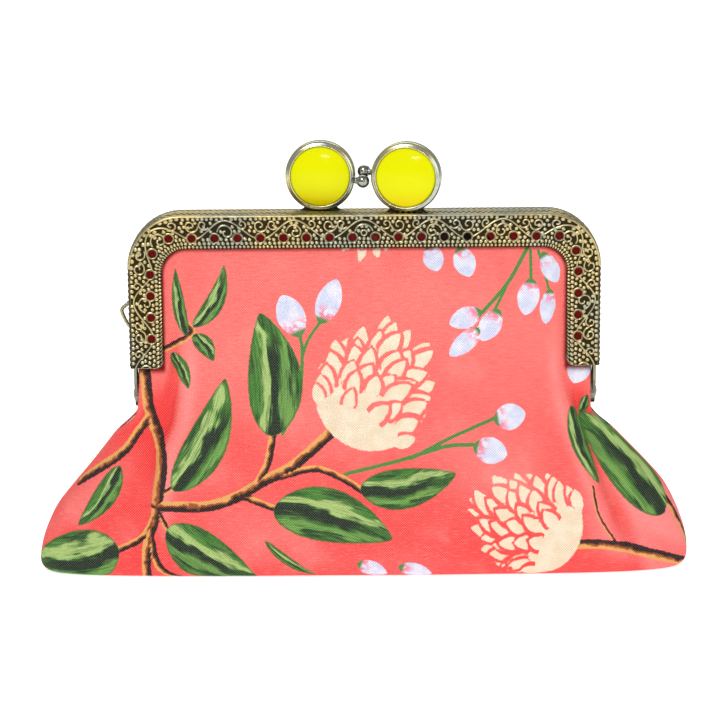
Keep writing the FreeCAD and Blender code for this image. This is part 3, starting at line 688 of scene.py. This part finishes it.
def ripples(x, z, face):
    """Soft drags and dents in the cloth, in millimetres."""
    low = ease((52.0 - z) / 20.0) * ease(z / 6.0)
    drag = np.sin(x * 0.055 * face + z * 0.16 + 1.3) * 0.35 + np.sin(x * 0.13 - z * 0.09 * face) * 0.22
    gusset = ease((np.abs(x) - 56.0) / 10.0)
    slant = np.sin((np.abs(x) * 0.62 + z * 0.78) * 0.42 + 0.6 * face) * 0.55
    top = np.exp(-((WINDOW_TOP - z) / 7.0) ** 2) * np.sin(x * 0.47 + 0.9 * np.sin(x * 0.11)) * 0.16
    return drag * (0.35 + 0.65 * low) + slant * gusset * low + top


def bag_line(z, inset, shrink):
    """The bag's own section at one level: across, depth, how free the cloth is and its painted shade in the
    frame's channel, which is nil here.
    """
    a = np.linspace(-1, 1, SECTION_POINTS) * math.pi / 2
    power = 2.0 / through(z, SQUARENESS)
    edge = np.where(a < 0, through(z, LEFT_EDGE), through(z, RIGHT_EDGE)) - inset - shrink
    wall = through(z, WALL) - inset - shrink
    x = np.sign(a) * np.abs(np.sin(a)) ** power * edge
    gape = through(z, GAPE)
    bulge = np.abs(np.cos(a)) ** power
    free = np.clip(bulge * (through(z, WALL) - gape) / 5.0, 0, 1)
    return x, gape + bulge * (wall - gape), free, free * 0


def window_line(z, inset):
    """The section inside the frame half's window, with the same four values."""
    arch = CHANNEL_HALF
    over = z - (CHANNEL_TOP - CHANNEL_ROUND)
    if over > 0:
        arch = CHANNEL_HALF - CHANNEL_ROUND + math.sqrt(max(CHANNEL_ROUND**2 - over**2, 0.0))
    x = np.linspace(-1, 1, SECTION_POINTS) * arch
    beside, below = WINDOW_HALF - np.abs(x), WINDOW_TOP - z
    corner = np.minimum(beside, WINDOW_ROUND) + np.minimum(below, WINDOW_ROUND) < WINDOW_ROUND
    round_off = WINDOW_ROUND - np.hypot(WINDOW_ROUND - beside, WINDOW_ROUND - below)
    rounded_off = corner & (beside > 0) & (below > 0)
    gap = np.where(rounded_off, np.minimum(round_off, beside), np.minimum(beside, below))
    swell = 1 - (1 - np.clip(gap / 20.0, 0, 1)) ** 2.3
    depth = RIM_DEPTH - inset + (through(z, WALL) - RIM_DEPTH) * swell
    # Painted shade: the cloth darkens where it runs under the frame's flange into the channel.
    tucked = ease((0.5 - gap) / 0.9) * ease((z - 52.8) / 2.0)
    return x, depth, np.clip(gap / 3.0, 0, 1), tucked


def creased(line, z, inset, face, crisp):
    """The line with its folds and drags, its place along the cloth, painted shade for its hollows and painted
    highlight for its crests.
    """
    x, depth, loose, tucked = line
    plain = np.concatenate([[0], np.cumsum(np.hypot(np.diff(x), np.diff(depth)))])
    plain -= plain[SECTION_POINTS // 2]
    drop = through(z, FOLD_DEPTH) * fold_shape(x, z, inset, crisp) * loose
    waves = ripples(x, z, face) * loose
    # Painted shade for the folds' hollows, less on the low right side; painted highlight, as negative values,
    # for the crest beside each fold, the lit right gusset and the drags' bulges.
    valley = np.clip(drop / 3.2, 0, 1) * np.where(x < 0, 1.0, ease((z - 22.0) / 16.0))
    valley -= (0.8 * crest_beside_fold(x, z) + 0.9 * lit_gusset(x, z)) * loose
    valley -= np.clip(waves, -0.5, 0.8) * 0.7
    return even(np.stack([x, depth - drop + waves, plain, valley, tucked], -1))


def section(z, inset, shrink, face, crisp):
    """One level of the cloth: across, depth, place along it, painted shade and highlight of its folds and
    drags, and painted shade where it runs into the frame's channel, evenly spaced.
    """
    split = float(ease((z - SPLIT_FROM) / (SPLIT_TO - SPLIT_FROM)))
    low = creased(bag_line(z, inset, shrink), z, inset, face, crisp)
    high = creased(window_line(z, inset), z, inset, face, crisp)
    return low * (1 - split) + high * split


def even(line, columns=421):
    """The same line with evenly spaced points, its middle point kept in the middle."""
    middle = len(line) // 2
    halves = []
    for part in (line[: middle + 1], line[middle:]):
        walked = np.concatenate([[0], np.cumsum(np.hypot(np.diff(part[:, 0]), np.diff(part[:, 1])))])
        stops = np.linspace(0, walked[-1], columns // 2 + 1)
        halves.append(np.stack([np.interp(stops, walked, column) for column in part.T], -1))
    return np.vstack([halves[0], halves[1][1:]])


def skin(face, inset, step, crisp):
    """A grid of points over one face of the bag, with the place of each on the cloth."""
    rows, print_up = [], []
    bottom = section(0.0, inset, BASE_ROUND, face, crisp)
    for share in np.linspace(0, 1, int(14 / step) + 2)[:-1]:
        row = bottom.copy()
        row[:, 1] *= share
        rows.append(np.column_stack([row, np.full(len(row), inset)]))
        print_up.append((share - 1) * bottom[:, 1])
    for turn in np.linspace(0, math.pi / 2, 7):
        z = inset + BASE_ROUND * (1 - math.cos(turn))
        row = section(z, inset, BASE_ROUND * (1 - math.sin(turn)), face, crisp)
        rows.append(np.column_stack([row, np.full(len(row), z)]))
        print_up.append(np.full(len(row), BASE_ROUND * turn))
    for z in np.arange(inset + BASE_ROUND + step, CHANNEL_TOP, step):
        row = section(z, inset, 0.0, face, crisp)
        rows.append(np.column_stack([row, np.full(len(row), z)]))
        print_up.append(np.full(len(row), z + BASE_ROUND * 0.57))
    grid = np.array(rows)
    x, depth, along, valley, tucked, z = np.moveaxis(grid, -1, 0)
    depth = np.clip(depth, 0, None)
    seam = np.exp(-((depth / 0.7) ** 2)) * ease((SPLIT_TO - z) / 12.0)
    x = x - np.sign(x) * 0.35 * seam * (z > inset + 0.01)
    z = z + 0.3 * seam * (z <= inset + 0.01)
    points = np.stack([x, -face * depth, z], -1)
    return points, along, np.array(print_up), {"valley": np.clip(valley, -1, 1), "tucked": tucked}


def layer(name, face, inset, thickness, step, material, half, nodes, crisp):
    """One layer of cloth on one face: a closed sheet."""
    outside, along, up, folds = skin(face, inset, step, crisp)
    inside = skin(face, inset + thickness, step, crisp)[0]
    rows = min(len(outside), len(inside))
    outside, inside, along, up = outside[:rows], inside[:rows], along[:rows], up[:rows]
    if inset == 0:
        fields = print_fields(along, up if face > 0 else BACK_PRINT_TOP - up)
        fields.update({key: values[:rows] for key, values in folds.items()})
    else:
        fields = {"cloth_u": along, "cloth_v": up}
    piece = shell(name, outside, inside, face < 0, fields)
    piece.data.materials.append(material)
    piece.cycles.shadow_terminator_geometry_offset = 0.3
    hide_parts(*nodes)
    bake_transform(piece)


def cloth():
    """Three layers on each face: the print, the interlining and the lining."""
    cream, sand = colour(240, 226, 200), colour(226, 208, 178)
    # Piece, CAD node, inset, thickness, grid step, material and crispness.
    layers = (
        ("print", "outer", 0.0, 0.6, 0.5, printed_cloth(), OUTER_CRISP),
        ("interlining", "fleece", 0.7, 0.9, 1.3, fleece_cloth(), 3.5),
        ("lining", "lining", 1.7, 0.5, 0.9, plain_cloth("lining_cotton", cream, sand, 0.7), 4.5),
    )
    for side, face in (("front", 1), ("back", -1)):
        for name, node, inset, thickness, step, material, crisp in layers:
            nodes = (f"{side}_{node}_panel", f"bag_{node}")
            layer(f"{side}_{name}", face, inset, thickness, step, material, f"{side}_half", nodes, crisp)


# Embossed face of each frame half. s runs along the band from the left leg's end to the right's, w across it.

BAND = 8.8
LEG_END, FRAME_TOP, FRAME_HALF = 55.0, 96.0, 62.5
OUTER_ROUND, INNER_ROUND = 14.0, 6.5
FACE = 5.4
ROLL = 0.55
# Taken off each straight run, because the band's two edges bend at different places.
RUN_TRIM = 0.65
LEG_RUN = FRAME_TOP - OUTER_ROUND - LEG_END - RUN_TRIM
BEND_RUN = (OUTER_ROUND + INNER_ROUND) / 2 * math.pi / 2
TOP_RUN = FRAME_HALF - OUTER_ROUND - RUN_TRIM
HALF_RUN = LEG_RUN + BEND_RUN + TOP_RUN
TOE = 2.2
HOLE = 1.03
# Height of the tallest embossing.
EMBOSS = 0.42
# Painted light: how much brighter upward-facing places and darker downward-facing places are painted, on the
# face and on the outer wall.
FACE_SLOPE_LIGHT, WALL_SLOPE_LIGHT = 0.5, 0.12
# Spacing of the beads and ribs along the face's inner edge, and of the beads on the outer wall.
BEAD_PITCH, RIB_PITCH, WALL_PITCH = 1.25, 1.05, 1.5
VINE_PITCH = 18.21


def band_point(s, w):
    """Where a place on the band is, across and up, and which way is outward there."""
    side = np.where(s < HALF_RUN, -1.0, 1.0)
    run = HALF_RUN - np.abs(s - HALF_RUN)
    share = w / BAND
    toe = np.where(w < TOE, TOE - np.sqrt(np.clip(TOE**2 - (TOE - w) ** 2, 0, None)), 0.0)
    leg = np.clip(run / LEG_RUN, 0, 1)
    bend = np.clip((run - LEG_RUN) / BEND_RUN, 0, 1) * math.pi / 2
    top = np.clip((run - LEG_RUN - BEND_RUN) / TOP_RUN, 0, 1)
    in_leg, in_bend = run <= LEG_RUN, run <= LEG_RUN + BEND_RUN

    def outline(half_width, height, radius):
        low = LEG_END + toe
        x_leg, z_leg = half_width, low + (height - radius - low) * leg
        x_bend = half_width - radius + radius * np.cos(bend)
        z_bend = height - radius + radius * np.sin(bend)
        x_top, z_top = (half_width - radius) * (1 - top), height
        return np.where(in_leg, x_leg, np.where(in_bend, x_bend, x_top)), np.where(
            in_leg, z_leg, np.where(in_bend, z_bend, z_top)
        )

    inner_x, inner_z = outline(FRAME_HALF - BAND, FRAME_TOP - BAND, INNER_ROUND)
    outer_x, outer_z = outline(FRAME_HALF, FRAME_TOP, OUTER_ROUND)
    x = inner_x + (outer_x - inner_x) * share
    z = inner_z + (outer_z - inner_z) * share
    return side * x, z, side * np.cos(bend), np.sin(bend)


def stitch_holes():
    """Centres of the holes in a frame half."""
    top = [((k - 8.5) * 6.07, 90.0) for k in range(18)]
    corner = [(side * 56.0, 86.0) for side in (-1, 1)]
    legs = [(side * 56.7, 80.4 - 5.8 * k) for side in (-1, 1) for k in range(4)]
    return np.array(top + corner + legs)


def spiral(centre_s, centre_w, wide, tight, start, turns, steps=26):
    """A spiral's points. Angles are in turns."""
    share = np.linspace(0, 1, steps)
    radius = wide + (tight - wide) * share
    angle = 2 * math.pi * (start + turns * share)
    return np.stack([centre_s + radius * np.cos(angle), centre_w + radius * np.sin(angle)], -1)


def scroll_lines():
    """The vine and its curls, on one side of the band's middle. Distances are from the middle."""
    away = np.linspace(0, HALF_RUN + 1, 330)
    lines = [np.stack([away, 5.0 + 2.5 * np.cos(2 * math.pi * away / VINE_PITCH)], -1)]
    for k in range(6):
        crest = VINE_PITCH * k
        lines.append(spiral(crest, 4.3, 2.3, 0.4, 0.02, 1.15))
        lines.append(spiral(crest + VINE_PITCH * 0.5, 6.1, 1.9, 0.4, 0.52, 1.2))
        lines.append(spiral(crest + VINE_PITCH * 0.32, 6.4, 1.5, 0.3, 0.6, 1.1))
        lines.append(spiral(crest + VINE_PITCH * 0.76, 6.5, 1.4, 0.3, 0.9, -1.1))
    return lines


def scroll_distance(away, w):
    """Distance to the nearest scroll line."""
    best = np.full(away.shape, 9.0)
    vine, *curls = scroll_lines()
    for start, end in zip(vine, vine[1:]):
        lower_distance(best, np.abs(away - start[0]) < 2.0, away, w, start, end)
    for curl in curls:
        near = (away > curl[:, 0].min() - 1.5) & (away < curl[:, 0].max() + 1.5)
        for start, end in zip(curl, curl[1:]):
            lower_distance(best, near, away, w, start, end)
    return best


def lower_distance(best, near, away, w, start, end):
    """Brings best down, at the places near the segment, to their distance from it."""
    best[near] = np.minimum(best[near], to_segment(away[near], w[near], start, end))


def to_segment(a, w, start, end):
    step = end - start
    share = np.clip(((a - start[0]) * step[0] + (w - start[1]) * step[1]) / (step @ step), 0, 1)
    return np.hypot(a - start[0] - share * step[0], w - start[1] - share * step[1])


def dome(distance, radius):
    return np.sqrt(np.clip(1 - (distance / radius) ** 2, 0, 1))


def hole_distance(x, z):
    return np.min([np.hypot(x - hx, z - hz) for hx, hz in stitch_holes()], axis=0)


def studs(s, w, pitch=1.26, first=2.45):
    """A field of small domes between the edges, left out near scrolls and holes."""
    best = np.zeros(s.shape)
    row_gap = pitch * 0.86
    low = np.floor((w - first) / row_gap)
    for row in (low, low + 1):
        shift = np.where(row % 2 == 0, 0.0, pitch / 2)
        step = np.round((s - HALF_RUN - shift) / pitch)
        centre_s = step * pitch + shift + HALF_RUN + 0.14 * np.sin(step * 5.3 + row * 2.1)
        centre_w = first + row * row_gap + 0.12 * np.sin(step * 3.7 + row * 1.3)
        allowed = (centre_w > 2.1) & (centre_w < 8.1)
        cx, cz, _, _ = band_point(centre_s, np.clip(centre_w, 0, BAND))
        allowed &= hole_distance(cx, cz) > 1.62
        allowed &= scroll_distance(np.abs(centre_s - HALF_RUN), centre_w) > 0.46
        best = np.maximum(best, np.where(allowed, dome(np.hypot(s - centre_s, w - centre_w), 0.52), 0))
    return best


def face_relief(s, w, x, z):
    """Height of the embossing, 0 to about 1."""
    height = studs(s, w) * 0.85
    line = scroll_distance(np.abs(s - HALF_RUN), w)
    inside = ease((w - 1.9) / 0.3) * ease((8.0 - w) / 0.3)
    height = np.maximum(height, np.clip(1 - (line / 0.27) ** 2, 0, 1) * 0.85 * inside)
    beads = dome(np.hypot((s + 0.4) % BEAD_PITCH - BEAD_PITCH / 2, w - 1.4), 0.54) * 0.9
    ribs = dome(np.hypot(((s % RIB_PITCH) - RIB_PITCH / 2) / 0.42, (w - 0.45) / 0.46), 1.0) * 0.8
    height = np.maximum(height, np.maximum(beads, ribs))
    height = np.maximum(height, dome(w - 8.55, 0.35) * 0.7)
    away = hole_distance(x, z)
    ring = np.clip(1 - ((away - 1.3) / 0.3) ** 2, 0, 1) * 0.6
    height = np.where(away < 1.6, np.maximum(height * ease((away - 1.1) / 0.5), ring), height)
    return np.where(away < HOLE + 0.08, -0.3, height)


def wall_relief(s, behind):
    """Height of the outer wall's two rows of beads and raised edge, that far behind the rolled edge."""
    middle = WALL_PITCH / 2
    near = dome(np.hypot(s % WALL_PITCH - middle, behind - 1.0), 0.55)
    far = dome(np.hypot((s + middle) % WALL_PITCH - middle, behind - 2.3), 0.55)
    edge = dome(behind - 3.9, 0.5) * 0.8
    return np.maximum(np.maximum(near, far) * 0.8, edge)


def upward(grid, face):
    """How far each place on the skin faces up, -1 to 1."""
    normal = np.cross(np.gradient(grid, axis=1), np.gradient(grid, axis=0)) * face
    return normal[..., 2] / np.maximum(np.linalg.norm(normal, axis=-1), 1e-9)


def frame_relief(side, face):
    """A thin embossed skin over the frame half's face, rolled edge and outer wall."""
    columns, across = 1061, 50
    s = np.linspace(0, 2 * HALF_RUN, columns)
    front_w = np.linspace(0, BAND - ROLL, across)
    roll = np.linspace(0, math.pi / 2, 6)[1:]
    on_leg = HALF_RUN - np.abs(s - HALF_RUN) < LEG_RUN
    back = np.arange(1, 26) * 0.178
    rows, relief = [], []

    def add(w, depth, tilt, height):
        x, z, out_x, out_z = band_point(s, np.full(columns, w))
        rise = height * EMBOSS + 0.02
        lift, spread = rise * math.cos(tilt), rise * math.sin(tilt)
        rows.append(np.stack([x + out_x * spread, -face * (depth + lift), z + out_z * spread], -1))
        relief.append(height)

    add(0.0, FACE - 0.3, 0.0, np.zeros(columns))
    for w in front_w:
        x, z, _, _ = band_point(s, np.full(columns, w))
        add(w, FACE, 0.0, face_relief(s, np.full(columns, w), x, z))
    for turn in roll:
        height = np.where(on_leg, 0.35, 0.8) - 0.2 * turn
        add(BAND - ROLL + ROLL * math.sin(turn), FACE - ROLL * (1 - math.cos(turn)), turn, height)
    for behind in back:
        add(BAND, FACE - ROLL - behind, math.pi / 2, wall_relief(s, behind))
    add(BAND - 0.3, FACE - ROLL - back[-1], math.pi / 2, np.zeros(columns))

    grid = np.array(rows)
    # Raised shapes come out bright and the hollows between them dark; upward-facing sides also get a painted
    # highlight and downward-facing sides painted shade.
    slope_light = np.full((len(rows), 1), WALL_SLOPE_LIGHT)
    slope_light[: across + 1] = FACE_SLOPE_LIGHT
    patina_and_slope_light = np.clip(np.array(relief) + slope_light * upward(grid, face), -0.3, 1.1)
    faces = grid_faces(len(rows), columns, 0, face > 0)
    front = np.zeros(grid.shape[:2], bool)
    front[1 : across + 1] = True
    grid, faces = cut_holes(grid, faces, front)
    ends = np.zeros(grid.shape[:2], bool)
    ends[:, [0, -1]] = True
    grid[ends] += np.array([0, face * 0.25, 0.0])
    used, renumbered = np.unique(faces, return_inverse=True)
    points = grid.reshape(-1, 3)[used]
    fields = {"relief": patina_and_slope_light.reshape(-1)[used]}
    return make_mesh(f"{side}_frame_embossing", points, renumbered.reshape(-1, 4), fields)


def cut_holes(grid, faces, front):
    """Takes the faces inside each stitch hole away and draws the rest of its edge to a circle."""
    flat = grid.reshape(-1, 3)
    inside = np.zeros(len(flat), bool)
    nearest = np.zeros((len(flat), 2))
    for hx, hz in stitch_holes():
        within = (np.hypot(flat[:, 0] - hx, flat[:, 2] - hz) < HOLE) & front.reshape(-1)
        inside |= within
        nearest[within] = (hx, hz)
    hits = inside[faces].sum(1)
    kept = faces[hits < 4]
    touched = np.zeros(len(flat), bool)
    touched[kept.reshape(-1)] = True
    move = np.flatnonzero(inside & touched)
    offset = flat[move][:, [0, 2]] - nearest[move]
    length = np.linalg.norm(offset, axis=1, keepdims=True)
    flat[move[:, None], [0, 2]] = nearest[move] + offset / np.maximum(length, 1e-6) * HOLE
    return flat.reshape(grid.shape), kept


def frames():
    bright, dark = (0.56, 0.46, 0.22), (0.035, 0.024, 0.01)
    embossed = antique_metal("antique_bronze_embossed", bright, dark)
    plain = antique_metal("antique_bronze", (0.33, 0.28, 0.15), dark, worn=False, rough=0.36)
    for side, face in (("front", 1), ("back", -1)):
        piece = frame_relief(side, face)
        piece.data.materials.append(embossed)
        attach(piece, f"{side}_half")
    for node in ("front_frame", "back_frame", "left_hinge_rivet", "right_hinge_rivet"):
        repaint(node, plain)
    cord = paper()
    for node in ("front_paper_cord", "back_paper_cord"):
        repaint(node, cord)


def repaint(node, material):
    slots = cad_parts[node].data.materials
    slots.clear()
    slots.append(material)


# Clasp.

HEAD_Z = 105.65
HEAD_X = 11.4
HEAD_Y = 2.0
LEFT_YAW, RIGHT_YAW = -2.0, -7.0
BEAD = 1.75


def clasp():
    rim = antique_metal("clasp_bronze", (0.60, 0.55, 0.31), (0.05, 0.04, 0.015), rough=0.26)
    dark_tones = (0.036, 0.031, 0.011), (0.012, 0.009, 0.004)
    dark = antique_metal("clasp_foot_bronze", *dark_tones, worn=False, rough=0.4)
    bead = antique_metal("catch_bronze", (0.38, 0.35, 0.25), (0.03, 0.025, 0.015), worn=False, rough=0.16)
    resin = glossy_resin()
    for side, sign, yaw, half in (
        ("left", -1, LEFT_YAW, "back_half"),
        ("right", 1, RIGHT_YAW, "front_half"),
    ):
        centre = (HEAD_X * sign, -HEAD_Y * sign, HEAD_Z)
        make_cup(side, centre, yaw, rim, half)
        make_cabochon(side, centre, yaw, resin, half)
        make_foot(side, centre, yaw, dark, half)
        make_bead(side, sign, bead, half)


def make_cup(side, centre, yaw, material, half):
    """A bezel cup: a thin lip round the stone, a bevelled rim and a ringed back."""
    bezel = [(0.0, -0.5), (7.9, -0.5), (7.9, -2.95), (8.15, -3.1), (8.5, -2.8), (8.95, -2.55), (9.3, -2.0)]
    wall = [(9.3, 0.2), (9.1, 0.45), (9.3, 0.7), (9.2, 1.5)]
    ringed = [(8.5, 2.5), (7.2, 2.85), (6.9, 2.65), (6.6, 2.95), (0.0, 3.2)]
    profile = rounded(bezel + wall + ringed, 0.3)
    radius, depth = np.array(profile).T
    shine = np.where(depth < -1.8, 0.95, 0.55)
    groove = (radius > 8.9) & (np.abs(depth - 0.45) < 0.2)
    shine = np.where(groove, 0.1, shine)
    piece = lathe(f"{side}_bezel_cup", profile, centre, yaw, {"relief": np.repeat(shine, RING_POINTS)})
    finish_piece(piece, material, half, f"{side}_clasp_cup")


def make_cabochon(side, centre, yaw, material, half):
    """A low resin dome with a rolled edge."""
    edge, crown, shoulder = 7.82, -3.85, -2.6
    reach = np.linspace(0.02, 1, 26)
    profile = [(edge * r, crown + (shoulder - crown) * r**2.3) for r in reach]
    profile += [(edge + 0.03, shoulder + 0.25), (edge + 0.03, -0.6), (edge - 0.4, -0.55)]
    piece = lathe(f"{side}_resin_cabochon", profile, centre, yaw)
    finish_piece(piece, material, half, f"{side}_cabochon")


def make_foot(side, centre, yaw, material, half):
    """A flared saddle between the frame and the cup."""
    # Height from the head's middle, half width and half depth.
    levels = (
        (-9.65, 5.45, 1.2), (-9.4, 5.6, 1.3), (-9.15, 5.2, 1.25),
        (-8.8, 4.6, 1.15), (-8.4, 4.3, 1.1), (-7.9, 4.2, 1.0),
    )
    turn = circle(72)
    cos, sin = math.cos(math.radians(yaw)), math.sin(math.radians(yaw))
    rows = []
    for z, wide, deep in levels:
        x = np.sign(np.cos(turn)) * np.abs(np.cos(turn)) ** 0.45 * wide
        y = np.sign(np.sin(turn)) * np.abs(np.sin(turn)) ** 0.45 * deep
        across, deeper = centre[0] + x * cos - y * sin, centre[1] + x * sin + y * cos
        rows.append(np.stack([across, deeper, centre[2] + z + 0 * x], -1))
    finish_piece(tube(f"{side}_saddle_foot", rows), material, half, f"{side}_clasp_foot")


def make_bead(side, sign, material, half):
    """The catch bead on its necked arm."""
    low, high = (np.array(c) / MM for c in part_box(f"{side}_catch_bead"))
    reach = (high[2] - low[2]) / 2
    tip_x = high[0] - reach if sign < 0 else low[0] + reach
    tip_y = low[1] + reach if sign < 0 else high[1] - reach
    ball = np.array([tip_x, tip_y, (low[2] + high[2]) / 2 - 0.3 * sign])
    root = np.array([3.9 * sign, -2.2 * sign, ball[2]])
    way = ball - root
    length = np.linalg.norm(way)
    way /= length
    beside = np.cross(way, [0, 0, 1.0])
    beside /= np.linalg.norm(beside)
    raised = np.cross(beside, way)
    angle = np.linspace(math.asin(0.55 / BEAD), math.pi - 0.02, 22)
    neck = [
        (0.02, 0.0), (0.75, 0.0), (0.75, length * 0.5),
        (0.9, length * 0.54), (0.9, length * 0.62), (0.6, length * 0.66),
    ]
    round_end = [(BEAD * math.sin(t), length - BEAD * math.cos(t)) for t in angle]
    turn = circle(48)
    ring = np.cos(turn)[:, None] * beside + np.sin(turn)[:, None] * raised
    rows = [root + way * y + r * ring for r, y in np.array(rounded(neck, 0.15) + round_end)]
    finish_piece(tube(f"{side}_bead_on_arm", rows), material, half, f"{side}_catch_bead")


def finish_piece(piece, material, half, node):
    """Gives the piece its material, the CAD node's place and its body."""
    piece.data.materials.append(material)
    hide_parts(node)
    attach(piece, half)


def chain_loop():
    """The bent wire loop, with a hammered surface."""
    low, high = (np.array(c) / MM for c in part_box("chain_loop"))
    y = (low[1] + high[1]) / 2
    wall = -61.9
    apex = low[0] + 0.5
    upper = ((wall, high[2] - 0.7), (apex + 1.5, high[2] - 2.2), (apex, 69.8))
    lower = ((apex + 0.1, 68.4), (apex + 1.3, 65.8), (wall, low[2] + 0.7))
    line = rounded_line(upper + lower, 9)
    turn = circle(20)
    rows = []
    for i, point in enumerate(line):
        step = line[min(i + 1, len(line) - 1)] - line[max(i - 1, 0)]
        step /= np.linalg.norm(step)
        radius = 0.5 + 0.05 * math.sin(i * 1.9)
        out = np.array([step[1], 0, -step[0]])
        ring = np.cos(turn)[:, None] * out + np.sin(turn)[:, None] * np.array([0, 1.0, 0])
        rows.append(np.array([point[0], y, point[1]]) + radius * ring)
    piece = tube("wire_chain_loop", rows)
    bronze = antique_metal("loop_bronze", (0.4, 0.35, 0.22), (0.05, 0.035, 0.02), worn=False, rough=0.35)
    finish_piece(piece, bronze, "back_half", "chain_loop")


# Studio.


def studio():
    scene = bpy.context.scene
    scene.view_settings.view_transform = "Standard"
    scene.view_settings.look = "None"
    world = bpy.data.worlds.new("studio")
    scene.world = world
    world.use_nodes = True
    tree = world.node_tree
    sky = tree.nodes["Background"]
    sky.inputs["Color"].default_value = (1.0, 1.0, 1.0, 1.0)
    sky.inputs["Strength"].default_value = 0.42

    ground = Paint("pale_floor")
    tint = ground.mix(ground.between(ground.noise(8.0), 0.4, 0.6), (0.94, 0.94, 0.94), (0.96, 0.96, 0.96))
    ground.set(Base_Color=tint, Roughness=0.8, Emission_Color=(1.0, 1.0, 1.0), Emission_Strength=0.61)
    far = 3000
    corners = [(-far, -far, 0), (far, -far, 0), (far, far, 0), (-far, far, 0)]
    floor = make_mesh("floor", corners, [(0, 1, 2, 3)])
    floor.data.materials.append(ground.material)

    lamp("key", (-0.30, -0.60, 0.85), (0.45, 0.45), 5.6)
    lamp("fill", (0.7, -0.6, 0.35), (0.5, 0.5), 1.5)
    lamp("glint", (0.03, -0.85, 0.40), (0.16, 0.03), 0.8)
    lamp("back", (0.0, 0.7, 0.7), (0.8, 0.4), 2.5)


def lamp(name, place, size, power):
    data = bpy.data.lights.new(name, "AREA")
    data.shape = "RECTANGLE"
    data.size, data.size_y = size
    data.energy = power
    light = bpy.data.objects.new(name, data)
    bpy.context.scene.collection.objects.link(light)
    light.location = place
    aim(light, (0.0, 0.0, 0.06))


def aim(thing, target, roll=0.0):
    way = Vector(target) - thing.location
    thing.rotation_mode = "QUATERNION"
    thing.rotation_quaternion = way.to_track_quat("-Z", "Y") @ Quaternion((0, 0, 1), roll)


def camera():
    """A long lens a little above the purse, level with its front."""
    data = bpy.data.cameras.new("camera")
    data.sensor_width = 36.0
    data.lens = 130.3
    data.clip_start, data.clip_end = 0.05, 20.0
    eye = bpy.data.objects.new("camera", data)
    bpy.context.scene.collection.objects.link(eye)
    distance, height = 0.70, math.radians(12.0)
    target = (-0.0013, 0.0, 0.0558)
    eye.location = (target[0], -distance * math.cos(height), target[2] + distance * math.sin(height))
    aim(eye, target, math.radians(-0.45))
    bpy.context.scene.camera = eye


camera()
studio()
cloth()
frames()
clasp()
chain_loop()
